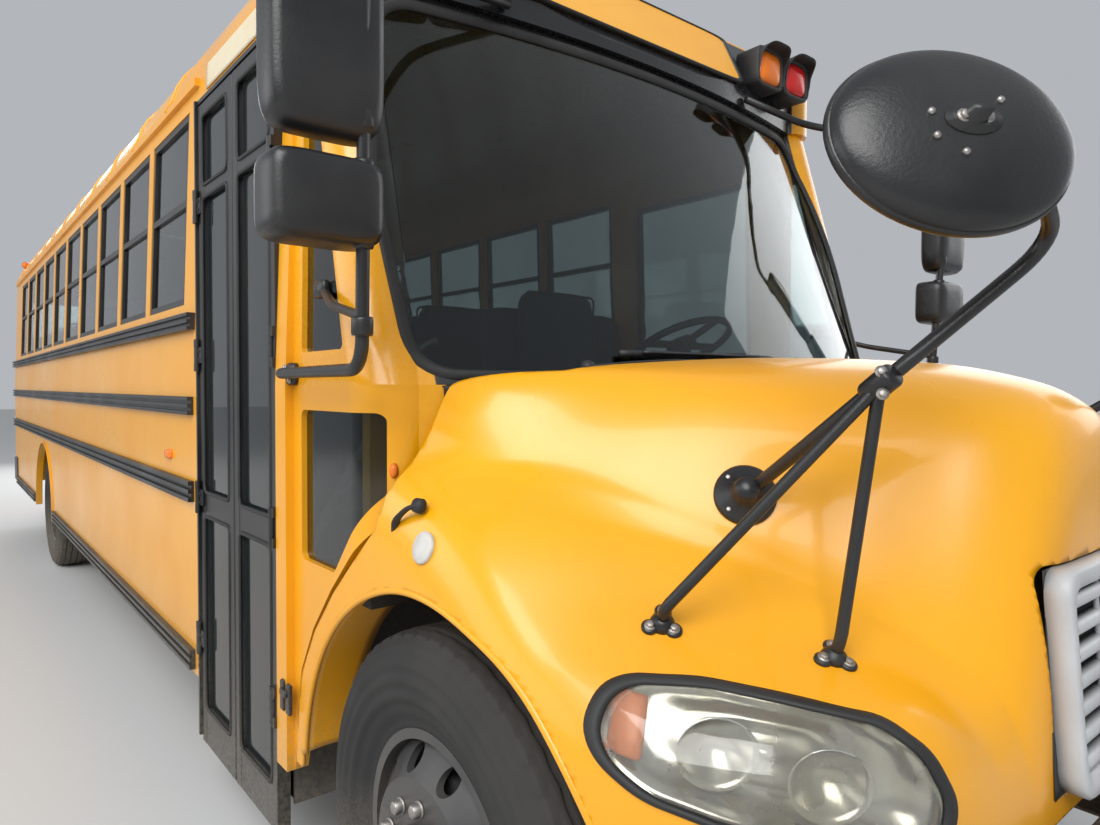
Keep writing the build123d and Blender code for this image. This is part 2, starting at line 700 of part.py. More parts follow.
# Driveline: engine block with its gearbox and mounts, radiator, drive shaft
with BuildPart() as driveline:
    add(block(front_axle_x - 250, front_axle_x + 600, -280, 280, 700, 1280))
    add(block(front_axle_x - 900, front_axle_x - 250, -190, 190, 640, 960))
    for mount_x in (front_axle_x - 150, front_axle_x + 450):
        for side in (-1, 1):
            add(block(mount_x, mount_x + 80, side * 280, side * 410, rail_top, rail_top + 40))
    add(block(front_axle_x + 700, front_axle_x + 770, -340, 340, 760, 1200))
    for side in (-1, 1):
        add(block(front_axle_x + 700, front_axle_x + 770, side * 300, side * 340 + side * 60,
                  horn_top, 790))
    add(rod((front_axle_x - 900, 0, 690), (rear_axle_x + 232, 0, tyre_radius + 25), 50))
driveline.part.label = "driveline"
export_step(driveline.part, "parts/driveline.step")

# Front axle: dropped beam with an eye round each kingpin
eye_half = 60
beam_z = tyre_radius
with BuildPart() as front_axle:
    add(block(front_axle_x - 55, front_axle_x + 55, -620, 620, beam_z - 95, beam_z - 5))
    for side in (-1, 1):
        add(side_prism([(front_axle_x - 50, beam_z - eye_half), (front_axle_x + 50, beam_z - eye_half),
                        (front_axle_x + 50, beam_z + 30), (front_axle_x - 50, beam_z + 30)],
                       min(side * 600, side * kingpin_y), max(side * 600, side * kingpin_y)))
        add(rod((front_axle_x, side * kingpin_y, beam_z - eye_half),
                (front_axle_x, side * kingpin_y, beam_z + eye_half), spindle_radius + 5))
        add(block(front_axle_x - 70, front_axle_x + 70, side * (rail_y - 50), side * (rail_y + 50),
                  beam_z - 5, beam_z + 20))
front_axle.part.label = "front_axle"
export_step(front_axle.part, "parts/front_axle.step")

# Rear axle: tube, differential and the hub ends that carry the twin wheels
dual_mid_y = (outer_dual_y + inner_dual_y) / 2
with BuildPart() as rear_axle:
    add(rod((rear_axle_x, -560, tyre_radius), (rear_axle_x, 560, tyre_radius), 70))
    add(rod((rear_axle_x, -dual_mid_y - 110, tyre_radius), (rear_axle_x, dual_mid_y + 110, tyre_radius),
            spindle_radius))
    with Locations((rear_axle_x, 0, tyre_radius)):
        Sphere(205)
    add(rod((rear_axle_x, 0, tyre_radius + 25), (rear_axle_x + 230, 0, tyre_radius + 25), 80))
    for side in (-1, 1):
        add(block(rear_axle_x - 70, rear_axle_x + 70, side * 440, side * 530, tyre_radius + 40,
                  tyre_radius + 80))
rear_axle.part.label = "rear_axle"
export_step(rear_axle.part, "parts/rear_axle.step")


def leaf_spring(axle_x, pad_z, half_length, rise, y_from, y_to):
    """A pack of curved leaves lying on its axle seat, as one arc."""
    thickness = 45
    with BuildPart() as spring:
        with BuildSketch(Plane.XZ.offset(-y_to)):
            with BuildLine():
                left = (axle_x - half_length, pad_z + rise)
                right = (axle_x + half_length, pad_z + rise)
                ThreePointArc(left, (axle_x, pad_z), right)
                Line(right, (right[0], right[1] + thickness))
                ThreePointArc((right[0], right[1] + thickness), (axle_x, pad_z + thickness),
                              (left[0], left[1] + thickness))
                Line((left[0], left[1] + thickness), left)
            make_face()
        extrude(amount=y_to - y_from)
    return spring.part


rail_low = rail_top - rail_height
with BuildPart() as leaf_springs:
    for side in (-1, 1):
        for axle_x, pad_z, half_length, near in ((front_axle_x, beam_z + 20, 535, rail_y - 40),
                                                 (rear_axle_x, tyre_radius + 80, 650, 445)):
            y_from = min(side * near, side * (near + 80))
            rise = 45
            add(leaf_spring(axle_x, pad_z, half_length, rise, y_from, y_from + 80))
            for end in (-1, 1):
                end_x = axle_x + end * (half_length - 20)
                if near < rail_y:
                    add(block(end_x - 30, end_x + 30, side * (rail_y - 60), side * rail_y,
                              pad_z + rise, rail_low))
                else:
                    add(block(end_x - 40, end_x + 40, side * rail_y, side * 520,
                              pad_z + rise + 10, rail_low + 110))
leaf_springs.part.label = "leaf_springs"
export_step(leaf_springs.part, "parts/leaf_springs.step")

# Fuel tank on the door side and exhaust on the other
tank_rear_x = front_axle_x - 4500
with BuildPart() as fuel_tank:
    add(block(tank_rear_x, tank_rear_x + 1150, -1120, -500, 470, 870))
    fillet(fuel_tank.edges().filter_by(Axis.X), 60)
    for strap_x in (tank_rear_x + 200, tank_rear_x + 900):
        add(block(strap_x, strap_x + 60, -560, -rail_y, 560, 860))
fuel_tank.part.label = "fuel_tank"
export_step(fuel_tank.part, "parts/fuel_tank.step")

muffler_y = 760
muffler_z = 680
with BuildPart() as exhaust:
    add(rod((front_axle_x - 3900, muffler_y, muffler_z), (front_axle_x - 2700, muffler_y, muffler_z), 130))
    add(bent_tube([(front_axle_x - 2710, muffler_y, muffler_z), (front_axle_x - 1500, muffler_y, muffler_z),
                   (front_axle_x - 1100, 520, muffler_z), (front_axle_x - 600, 480, muffler_z + 60)], 50))
    add(bent_tube([(front_axle_x - 3890, muffler_y, muffler_z), (front_axle_x - 4700, muffler_y, muffler_z),
                   (front_axle_x - 4900, muffler_y + 120, muffler_z - 160),
                   (front_axle_x - 5000, half_width - 10, muffler_z - 275)], 50))
    for hanger_x in (front_axle_x - 3700, front_axle_x - 2900):
        add(block(hanger_x, hanger_x + 50, rail_y, muffler_y, muffler_z - 20, muffler_z + 40))
exhaust.part.label = "exhaust"
export_step(exhaust.part, "parts/exhaust.step")

# Bumpers
with BuildPart() as front_bumper:
    outer = [(bumper_front_x, 760), (bumper_front_x - 110, 1100), (bumper_front_x - 330, 1190)]
    inner = [(bumper_front_x - 330, 1190 - bumper_wall),
             (bumper_front_x - 110 - bumper_wall, 1100 - bumper_wall), (bumper_back, 760 - 4)]
    half_plan = outer + inner
    plan = half_plan + [(x, -y) for x, y in reversed(half_plan)]
    with BuildSketch(Plane.XY.offset(bumper_low)):
        with BuildLine():
            Polyline(*plan, close=True)
        make_face()
    extrude(amount=bumper_high - bumper_low)
    add(block(bumper_back - 50, bumper_back, -760, 760, bumper_low, bumper_low + bumper_wall))
front_bumper.part.label = "front_bumper"
export_step(front_bumper.part, "parts/front_bumper.step")

rear_bumper_low = 520
rear_bumper_high = 780
plate_hole_pitch = 177.8
plate_hole_rise = 120.65
plate_hole_z = 650
plate_hole_radius = 3.5
bumper_wrap_x = rear_wall_x + 300


def rear_bumper_block(x_from, half, corner):
    """A block across the rear with rounded corners."""
    with BuildPart() as shape:
        add(block(x_from, bumper_wrap_x, -half, half, rear_bumper_low, rear_bumper_high))
        fillet(shape.edges().filter_by(Axis.Z).sort_by(Axis.X)[:2], corner)
    return shape.part


with BuildPart() as rear_bumper:
    add(rear_bumper_block(bumper_rear_x, half_width + bumper_wall, 60))
    add(rear_bumper_block(rear_bumper_back, half_width, 50), mode=Mode.SUBTRACT)
    for side in (-1, 1):
        add(block(rear_bumper_back, rear_wall_x, side * (rail_y - 40), side * (rail_y + 40),
                  rear_bumper_low + 60, rear_bumper_high - 40))
    for hole_y in (-plate_hole_pitch / 2, plate_hole_pitch / 2):
        for hole_z in (plate_hole_z - plate_hole_rise / 2, plate_hole_z + plate_hole_rise / 2):
            add(rod((bumper_rear_x - 5, hole_y, hole_z), (rear_bumper_back + 5, hole_y, hole_z),
                    plate_hole_radius), mode=Mode.SUBTRACT)
rear_bumper.part.label = "rear_bumper"
export_step(rear_bumper.part, "parts/rear_bumper.step")

# Tow eyes, two at each end, bolted to the rails
eye_bore = 40
eye_plate = 25
with BuildPart() as tow_eyes:
    for side in (-1, 1):
        for eye_x, low, high in ((bumper_back - 130, 340, horn_top - horn_height),
                                 (rear_wall_x + wall + 75, 400, rail_low)):
            near = min(side * (rail_y - 50), side * (rail_y - 50 + eye_plate))
            add(block(eye_x - 55, eye_x + 55, near, near + eye_plate, low, high))
            bore = rod((eye_x, near - 5, low + 50), (eye_x, near + eye_plate + 5, low + 50),
                       eye_bore / 2)
            add(bore, mode=Mode.SUBTRACT)
tow_eyes.part.label = "tow_eyes"
export_step(tow_eyes.part, "parts/tow_eyes.step")

# Hood sections: place along x, crown height, then y and z of the dome's edge, of its shoulder,
# of the valley beside it, of the fender's ridge and of the fender's outer edge
hood_table = (
    (-720, 1800, 1010, 1710, 1090, 1600, 1130, 1450, 1160, 1445, 1190, 1420),
    (-150, 1735, 985, 1645, 1060, 1530, 1115, 1375, 1150, 1372, 1185, 1350),
    (100, 1715, 810, 1640, 925, 1462, 1000, 1372, 1060, 1362, 1130, 1310),
    (400, 1690, 580, 1580, 727, 1398, 810, 1285, 900, 1235, 1109, 1130),
    (650, 1650, 420, 1520, 565, 1305, 660, 1165, 790, 1135, 1109, 1005),
    (900, 1580, 300, 1450, 405, 1240, 520, 975, 730, 1050, 1109, 900),
    (1010, 1540, 270, 1400, 360, 1225, 480, 860, 730, 1000, 1109, 860),
)
fender_drop = 130


def eased(points):
    """The same bends, each cut across at two points beside it."""
    path = [points[0]]
    for before, corner, after in zip(points, points[1:], points[2:]):
        for end in (before, after):
            run = math.dist(corner, end)
            path.append((corner[0] + (end[0] - corner[0]) * hood_bend / run,
                         corner[1] + (end[1] - corner[1]) * hood_bend / run))
    return path + [points[-1]]


def hood_section(row, inset):
    """Dome, valley and fender on both sides, at one place along the hood."""
    x, crown = row[:2]
    dome, shoulder, valley, ridge, fender = zip(row[2::2], row[3::2])
    with BuildSketch(Plane.YZ.offset(front_axle_x + x)) as sketch:
        with BuildLine():
            edge_y = half_width - inset
            bends = eased([(edge_y, hood_low - inset), (edge_y, fender[1] - fender_drop - inset),
                           (fender[0] - inset, fender[1] - inset), (ridge[0] - inset, ridge[1] - inset),
                           (valley[0] - inset, valley[1] - inset),
                           (shoulder[0] - inset, shoulder[1] - inset),
                           (dome[0] - inset, dome[1] - inset)])
            left = [(-y, z) for y, z in bends]
            Polyline(*bends)
            ThreePointArc(bends[-1], (0, crown - inset), left[-1])
            Polyline(*left)
            Line(left[0], bends[0])
        make_face()
    return sketch.sketch


def hood_plan(inset):
    """Square shoulders behind, quarter-round corners in front."""
    front_x = nose_low_x - inset
    with BuildPart() as shape:
        with BuildSketch() as sketch:
            with BuildLine():
                Polyline((front_joint_x - 100, inset - half_width), (front_x, inset - half_width),
                         (front_x, half_width - inset), (front_joint_x - 100, half_width - inset),
                         close=True)
            make_face()
            fillet(sketch.vertices().sort_by(Axis.X)[-2:], corner_radius - inset)
        extrude(amount=2 * roof_height)
    return shape.part


def hood_nose(inset):
    """Side view that leans the front face back and rounds it over to the crown."""
    nose_tip_x = nose_low_x - inset
    brow_z = nose_brow_z - inset
    with BuildPart() as shape:
        with BuildSketch(Plane.XZ.offset(-2 * half_width)) as sketch:
            with BuildLine():
                Polyline((front_joint_x - 100, 0), (nose_tip_x, 0), (nose_tip_x, fascia_low),
                         (nose_high_x - inset, nose_high_z), (nose_brow_x - inset, brow_z),
                         (front_axle_x + 700, brow_z + 100), (front_joint_x - 100, brow_z + 400),
                         close=True)
            make_face()
            brow = sketch.vertices().filter_by(lambda vertex: abs(vertex.Y - brow_z) < 1)
            fillet(brow, nose_bend)
        extrude(amount=4 * half_width)
    return shape.part


def hood_block(inset):
    """The whole hood as one solid."""
    with BuildPart() as shape:
        loft([hood_section(row, inset) for row in hood_table], ruled=True)
        add(hood_plan(inset), mode=Mode.INTERSECT)
        add(hood_nose(inset), mode=Mode.INTERSECT)
    return shape.part


hood_solid = hood_block(0)
grille_outline = [(-330, grille_low), (-grille_half, nose_high_z), (grille_half, nose_high_z),
                  (330, grille_low)]
grille_region = front_prism(grille_outline, front_axle_x + 600, bumper_front_x, 40)
rear_edge = [(x + hood_gap, z) for x, z in cowl_side]
hood_back = [(front_joint_x - 200, 0), (front_joint_x + 13 + hood_gap, 0)] + rear_edge[:-1] + [
    (rear_edge[-1][0], 2 * waist_z), (front_joint_x - 200, 2 * waist_z)]

# Headlamp outline, in a plane square to the corner of the hood
lamp_plane = Plane(origin=(front_axle_x + 690, -900, 970), x_dir=(0.65, 0.73, -0.20),
                   z_dir=(0.73, -0.65, 0))
with BuildPart() as lamp_prism:
    with BuildSketch(lamp_plane.offset(-110)) as lamp_sketch:
        with BuildLine():
            Polyline((-302, -25), (-285, 30), (-240, 58), (-120, 84), (20, 98), (168, 108),
                     (246, 74), (304, 4), (300, -60), (250, -92), (-60, -92), (-200, -90),
                     (-275, -65), close=True)
        make_face()
        fillet(lamp_sketch.vertices(), 20)
    extrude(amount=300)
with BuildPart() as headlamps:
    add(hood_solid)
    add(hood_block(70), mode=Mode.SUBTRACT)
    add(both_sides(lamp_prism.part), mode=Mode.INTERSECT)
headlamps.part.label = "headlamps"
export_step(headlamps.part, "parts/headlamps.step")

with BuildPart() as hood:
    add(hood_solid)
    add(hood_block(hood_wall), mode=Mode.SUBTRACT)
    add(side_prism(hood_back, -2 * half_width, 2 * half_width), mode=Mode.SUBTRACT)
    add(plan_block(waist_plan, 0, vent_shift + hood_gap, 1200, 2 * waist_z), mode=Mode.SUBTRACT)
    add(rod((front_axle_x, -2 * half_width, tyre_radius), (front_axle_x, 2 * half_width, tyre_radius),
            arch_radius), mode=Mode.SUBTRACT)
    add(block(front_axle_x, bumper_front_x, -2 * half_width, 2 * half_width, 0, fascia_low),
        mode=Mode.SUBTRACT)
    add(grille_region, mode=Mode.SUBTRACT)
    add(both_sides(lamp_prism.part), mode=Mode.SUBTRACT)
    for side in (-1, 1):
        y_from, y_to = sorted((side * 330, side * 370))
        add(rod((pivot_x, y_from, pivot_z), (pivot_x, y_to, pivot_z), 14))
        add(block(pivot_x - 12, nose_low_x - hood_wall, y_from, y_to, pivot_z, fascia_low + 40))
hood.part.label = "hood"
export_step(hood.part, "parts/hood.step")

# Grille: a surround with slats, leaning with the hood's front face
grille_lean = (nose_low_x - nose_high_x) / (nose_high_z - fascia_low)
grille_slats = 7
with BuildPart() as grille:
    add(side_prism([(nose_low_x + 14, fascia_low), (nose_low_x - 36, fascia_low),
                    (nose_high_x - 36, nose_high_z), (nose_high_x + 14, nose_high_z)],
                   -grille_half, grille_half))
    add(grille_region, mode=Mode.INTERSECT)
    slot_pitch = (nose_high_z - grille_low - 60) / grille_slats
    for number in range(grille_slats):
        low = grille_low + 30 + slot_pitch * number
        slot = front_prism([(-298, low + 14), (-312, low + slot_pitch - 14),
                            (312, low + slot_pitch - 14), (298, low + 14)],
                           front_axle_x + 600, bumper_front_x + 100, 12)
        add(slot, mode=Mode.SUBTRACT)
grille.part.label = "grille"
export_step(grille.part, "parts/grille.step")

# Cross-view mirrors: oval heads on three-legged arms that stand on the hood
clamp = (front_axle_x + 800, -733, 1601)
head_centre = Vector(front_axle_x + 938, -800, 1969)
head_axis = Vector(0.80, -0.52, 0.30).normalized()
head_plane = Plane(origin=head_centre, x_dir=(0.545, 0.838, 0), z_dir=head_axis)
head_width = 400
head_height = 320
dome_foot = (front_axle_x + 474, -667, 1358)
fender_foot = (front_axle_x + 484, -933, 1146)
front_foot = (front_axle_x + 720, -729, 1101)
tube_radius = 13
arm_bend = (front_axle_x + 1000, -544, 1844)
arm_elbow = (front_axle_x + 1030, -696, 1903)
with BuildPart() as mirror_arm:
    head_back = tuple(head_centre + head_axis * 62)
    add(bent_tube([dome_foot, clamp, arm_bend, arm_elbow, head_back], tube_radius))
    add(rod(clamp, fender_foot, tube_radius))
    add(rod(clamp, front_foot, tube_radius))
    with Locations(clamp):
        Sphere(30)
    with Locations(dome_foot):
        Sphere(52)
    with Locations(fender_foot, front_foot):
        Sphere(36)
    add(hood_solid, mode=Mode.SUBTRACT)
with BuildPart() as mirror_head:
    with BuildSketch(head_plane):
        Ellipse(head_width / 2, head_height / 2)
    with BuildSketch(head_plane.offset(58)):
        Ellipse(head_width / 4, head_height / 4)
    loft(ruled=True)
    with BuildSketch(head_plane.offset(-22)):
        Ellipse(head_width / 2, head_height / 2)
    extrude(amount=22)
with BuildPart() as crossview_mirrors:
    add(both_sides(mirror_arm.part + mirror_head.part))
crossview_mirrors.part.label = "crossview_mirrors"
export_step(crossview_mirrors.part, "parts/crossview_mirrors.step")

# Side mirrors: a bent tube with braces, a tall flat head and a low convex head
tube_low = (front_axle_x - 32, -1300, 1630)
tube_top = (front_axle_x + 20, -1315, 2600)
cowl_side_y = half_width - cowl_inset
with BuildPart() as side_mirror:
    add(bent_tube([(front_axle_x - 690, -cowl_side_y + 2, 1630), (front_axle_x - 640, -1262, 1630),
                   tube_low, tube_top, (front_axle_x - 400, -900, 2720),
                   (front_axle_x - 480, -600, 2782)], 15))
    add(rod((front_axle_x - 26, -1300, 1740), (front_axle_x - 521, -1180, 1858), 12))
    for low, high, depth in ((1880, 2060, 110), (2095, 2500, 90)):
        add(block(front_axle_x + 20 - depth, front_axle_x + 20, -1505, -1262, low, high))
    fillet(side_mirror.edges().filter_by(Axis.Z).filter_by(
        lambda edge: edge.length > 150), 30)
    add(block(front_axle_x - 720, front_axle_x - 660, -half_width - 12, -cowl_side_y, 1600, 1660))
with BuildPart() as side_mirrors:
    add(side_mirror.part)
    for keep_out in (cap_solid, greenhouse_block(0), plan_block(waist_plan, 0, 0, skirt_z, waist_z),
                     cowl_vent.part,
                     block(front_joint_x - 100, front_joint_x, -half_width, half_width, 0, eave_z)):
        add(keep_out, mode=Mode.SUBTRACT)
    mirror(about=Plane.XZ)
side_mirrors.part.label = "side_mirrors"
export_step(side_mirrors.part, "parts/side_mirrors.step")

# Blank signs on the front cap and the rear wall
sign_half = 560
sign_run = sign_high[0] - sign_low[0]
sign_rise = sign_high[1] - sign_low[1]


def on_sign(z):
    """The x of the sign face at one height."""
    return sign_low[0] + sign_run * (z - sign_low[1]) / sign_rise


with BuildPart() as signs:
    low, high = (2825, 3045)
    add(side_prism([(on_sign(low), low), (on_sign(low) + 12, low), (on_sign(high) + 12, high),
                    (on_sign(high), high)], -sign_half, sign_half))
    add(cap_solid, mode=Mode.SUBTRACT)
    add(block(rear_wall_x - 10, rear_wall_x, -sign_half, sign_half, 2750, 2960))
signs.part.label = "signs"
export_step(signs.part, "parts/signs.step")

# Lamps: hooded warning lamps, roof markers, side markers and rear lamp clusters
with BuildPart() as lamps:
    for side in (-1, 1):
        y_from, y_to = sorted((side * 620, side * 985))
        add(side_prism([(front_axle_x - 640, 2820), (front_axle_x - 440, 2820),
                        (front_axle_x - 430, 3000), (front_axle_x - 640, 3045)], y_from, y_to))
        add(block(rear_wall_x - 90, rear_wall_x, side * 620, side * 985, 2700, 2880))
        for y_near, y_far in ((700, 860), (900, 1080)):
            add(block(rear_wall_x - 25, rear_wall_x, side * y_near, side * y_far, 1290, 1450))
        for marker_x in (front_axle_x - 1180, rear_wall_x + 400):
            add(block(marker_x - 60, marker_x + 60, side * 1040, side * 1190, 2920, 3020))
        add(block(right_start - 420, right_start - 330, side * half_width,
                  side * (half_width + 18), 1290, 1330))
    for marker_y in (-150, 0, 150):
        add(block(front_axle_x - 760, front_axle_x - 650, marker_y - 40, marker_y + 40, 3040, 3145))
    for keep_out in (cap_solid, shell_outer):
        add(keep_out, mode=Mode.SUBTRACT)
lamps.part.label = "lamps"
export_step(lamps.part, "parts/lamps.step")

# Wipers, parked along the foot of the windshield
with BuildPart() as wipers:
    for foot_x, foot_y, tip_x, tip_y in ((-8, -640, 58, -150), (62, 60, 10, 560)):
        foot = Vector(front_axle_x + foot_x, foot_y, waist_z + 8)
        tip = Vector(front_axle_x + tip_x, tip_y, waist_z + 34)
        reach = tip - foot
        add(rod((foot.X, foot.Y, waist_z - 34), (foot.X, foot.Y, waist_z + 20), 16))
        add(rod(tuple(foot), tuple(tip), 8))
        add(rod(tuple(foot + reach * 0.4), tuple(foot + reach * 1.3), 10))
    add(cowl_vent.part, mode=Mode.SUBTRACT)
    add(greenhouse_block(-2), mode=Mode.SUBTRACT)
wipers.part.label = "wipers"
export_step(wipers.part, "parts/wipers.step")


# Seats
def bench(x, y_from, y_to, leg_y):
    """A bench with its high back and one leg by the aisle."""
    with BuildPart() as seat:
        add(block(x - seat_depth, x, y_from, y_to, seat_z - 110, seat_z))
        add(block(x - seat_depth - seat_back, x - seat_depth, y_from, y_to, seat_z - 110, seat_top))
        fillet(seat.edges().filter_by(Axis.Y).sort_by(Axis.Z)[-2:], 30)
        add(block(x - seat_depth, x - 60, leg_y - 20, leg_y + 20, floor_z, seat_z - 110))
    return seat.part


for name, side in (("passenger_seats_right", -1), ("passenger_seats_left", 1)):
    with BuildPart() as seats:
        for row in range(window_count):
            wall_y = side * inner_y
            aisle_y = side * (inner_y - seat_width)
            add(bench(row_x - window_pitch * row, min(wall_y, aisle_y), max(wall_y, aisle_y),
                      aisle_y + side * 90))
        add(body_block(wall, rear_wall_x + wall, front_joint_x), mode=Mode.INTERSECT)
        add(block(row_x + 190, row_x + 230, side * (inner_y - seat_width), side * (inner_y - 30),
                  floor_z, seat_top - 60))
    seats.part.label = name
    export_step(seats.part, "parts/" + name + ".step")

with BuildPart() as driver_seat:
    seat_x = front_axle_x - 1150
    add(block(seat_x - 520, seat_x, 360, 880, 1450, 1560))
    add(block(seat_x - 610, seat_x - 520, 370, 870, 1490, 2110))
    fillet(driver_seat.edges().filter_by(Axis.Y).sort_by(Axis.Z)[-2:], 30)
    add(block(seat_x - 420, seat_x - 120, 480, 760, floor_z, 1450))
driver_seat.part.label = "driver_seat"
export_step(driver_seat.part, "parts/driver_seat.step")

# Dashboard against the firewall, and the steering wheel on its column
wheel_centre = Vector(front_axle_x - 830, 620, 1790)
wheel_axis = Vector(-0.45, 0, 0.893)
with BuildPart() as dashboard:
    add(side_prism([(firewall_x, 1300), (firewall_x, waist_z - 60), (firewall_x - 120, waist_z + 30),
                    (firewall_x - 300, waist_z + 10), (firewall_x - 360, 1470),
                    (firewall_x - 300, 1300)], -600, inner_y - 30))
dashboard.part.label = "dashboard"
export_step(dashboard.part, "parts/dashboard.step")

with BuildPart() as steering_wheel:
    with Locations(Plane(origin=wheel_centre, z_dir=wheel_axis)):
        Torus(225, 16)
        Cylinder(70, 30)
        Box(450, 40, 14)
        Box(40, 450, 14)
    column_end = wheel_centre - wheel_axis * 330
    add(rod(tuple(wheel_centre), tuple(column_end), 30))
    add(dashboard.part, mode=Mode.SUBTRACT)
steering_wheel.part.label = "steering_wheel"
export_step(steering_wheel.part, "parts/steering_wheel.step")

# Stop arm: an eight-sided blade folded back along the driver's side
with BuildPart() as stop_arm:
    with BuildSketch(Plane.XZ.offset(-(stop_y + 4))):
        with Locations((stop_x - 260, stop_z)):
            RegularPolygon(225, 8, major_radius=False, rotation=22.5)
    extrude(amount=8)
    add(block(stop_x - 60, stop_x, stop_y - 4, stop_y + 4, stop_low, stop_high))
    add(rod((stop_x, stop_y, stop_low), (stop_x, stop_y, stop_high), 12))
stop_arm.part.label = "stop_arm"
export_step(stop_arm.part, "parts/stop_arm.step")


# Wheels
def tyre(axle_x, centre_y):
    """A tyre turned about its axle, from a table of (distance from the middle, radius)."""
    half = tyre_width / 2
    bead = rim_width / 2 - 8
    right = [(bead, rim_radius), (bead, flange_radius), (half - 20, rim_radius + 34),
             (half, tyre_radius - 110),
             (half - 8, tyre_radius - 45), (half - 34, tyre_radius - 10), (half - 60, tyre_radius)]
    outline = right + [(-y, r) for y, r in reversed(right)]
    with BuildPart() as shape:
        with BuildSketch(Plane.YZ.offset(axle_x)):
            with BuildLine():
                Polyline(*[(centre_y + y, tyre_radius + r) for y, r in outline], close=True)
            make_face()
        revolve(axis=Axis((axle_x, 0, tyre_radius), (0, 1, 0)))
    return shape.part


def rim(axle_x, centre_y, disc_y, toward):
    """A rim barrel with its dished disc, holes round the dish, and no hub."""
    half = rim_width / 2
    inside = rim_radius - rim_wall
    barrel = [(-half, inside), (-half, flange_radius), (8 - half, flange_radius),
              (8 - half, rim_radius), (half - 8, rim_radius), (half - 8, flange_radius),
              (half, flange_radius), (half, inside)]
    root_y = centre_y + toward * 60
    dish = [(root_y, inside + 2), (root_y + toward * disc_plate, inside + 2), (disc_y, dish_radius),
            (disc_y, spindle_radius + fit), (disc_y - toward * disc_plate, spindle_radius + fit),
            (disc_y - toward * disc_plate, dish_radius - 4), (root_y, inside - 12)]
    with BuildPart() as shape:
        with BuildSketch(Plane.YZ.offset(axle_x)):
            with BuildLine():
                Polyline(*[(centre_y + y, tyre_radius + r) for y, r in barrel], close=True)
            make_face()
            with BuildLine():
                Polyline(*[(y, tyre_radius + r) for y, r in dish], close=True)
            make_face()
        revolve(axis=Axis((axle_x, 0, tyre_radius), (0, 1, 0)))
        for number in range(hand_holes):
            angle = 2 * math.pi * number / hand_holes
            x = axle_x + hand_hole_circle * math.cos(angle)
            z = tyre_radius + hand_hole_circle * math.sin(angle)
            add(rod((x, root_y, z), (x, disc_y + toward * 10, z), hand_hole_radius),
                mode=Mode.SUBTRACT)
    return shape.part


for side, side_name in ((-1, "right"), (1, "left")):
    for name, axle_x, centre_y in (("tyre_front_", front_axle_x, front_track_y),
                                   ("tyre_rear_outer_", rear_axle_x, outer_dual_y),
                                   ("tyre_rear_inner_", rear_axle_x, inner_dual_y)):
        with BuildPart() as tyre_part:
            add(tyre(axle_x, side * centre_y))
        tyre_part.part.label = name + side_name
        export_step(tyre_part.part, "parts/" + name + side_name + ".step")

    # Front rim: the dish stands out to the hub, and the brake drum is inside
    disc_y = side * (front_track_y + front_disc)
    with BuildPart() as rim_front:
        add(rim(front_axle_x, side * front_track_y, disc_y, side))
        add(rod((front_axle_x, disc_y - side * 20, tyre_radius),
                (front_axle_x, disc_y + side * 34, tyre_radius), hub_radius))
        add(rod((front_axle_x, side * (front_track_y - 40), tyre_radius),
                (front_axle_x, disc_y - side * 60, tyre_radius), drum_radius))
        add(rod((front_axle_x, disc_y - side * 60, tyre_radius),
                (front_axle_x, disc_y - side * 10, tyre_radius), hub_radius + 30))
        add(rod((front_axle_x, side * (kingpin_y + 50), tyre_radius),
                (front_axle_x, disc_y + side * 20, tyre_radius), spindle_radius + fit),
            mode=Mode.SUBTRACT)
    rim_front.part.label = "rim_front_" + side_name
    export_step(rim_front.part, "parts/rim_front_" + side_name + ".step")

    # Rear rims: two dishes bolted back to back on one hub with its drum
    with BuildPart() as rim_rear:
        add(rim(rear_axle_x, side * outer_dual_y, side * dual_mid_y, -side))
        add(rim(rear_axle_x, side * inner_dual_y, side * dual_mid_y, side))
        for near, far, barrel_radius in ((-230, -90, drum_radius), (-90, 60, hub_radius + 45),
                                         (60, 190, hub_radius + 5)):
            add(rod((rear_axle_x, side * (dual_mid_y + near), tyre_radius),
                    (rear_axle_x, side * (dual_mid_y + far), tyre_radius), barrel_radius))
        add(rod((rear_axle_x, 0, tyre_radius),
                (rear_axle_x, side * (dual_mid_y + 112), tyre_radius), spindle_radius + fit),
            mode=Mode.SUBTRACT)
    rim_rear.part.label = "rim_rear_" + side_name
    export_step(rim_rear.part, "parts/rim_rear_" + side_name + ".step")

    # Steering knuckle: two arms round the axle eye, plate and spindle
    knuckle_y = side * kingpin_y
    with BuildPart() as knuckle:
        for low, high in ((beam_z - eye_half - 35, beam_z - eye_half - fit),
                          (beam_z + eye_half + fit, beam_z + eye_half + 35)):
            add(rod((front_axle_x, knuckle_y, low), (front_axle_x, knuckle_y, high),
                    spindle_radius + 5))
            add(block(front_axle_x - 40, front_axle_x + 40, knuckle_y, knuckle_y + side * 80, low,
                      high))
        add(block(front_axle_x - 60, front_axle_x + 60, knuckle_y + side * 58,
                  knuckle_y + side * 84, beam_z - eye_half - 35, beam_z + eye_half + 35))
        add(rod((front_axle_x, knuckle_y + side * 80, tyre_radius),
                (front_axle_x, disc_y + side * 15, tyre_radius), spindle_radius))
    knuckle.part.label = "knuckle_" + side_name
    export_step(knuckle.part, "parts/knuckle_" + side_name + ".step")
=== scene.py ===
import math
import bmesh
import bpy
import numpy as np
from mathutils import Matrix, Vector
from mathutils.bvhtree import BVHTree


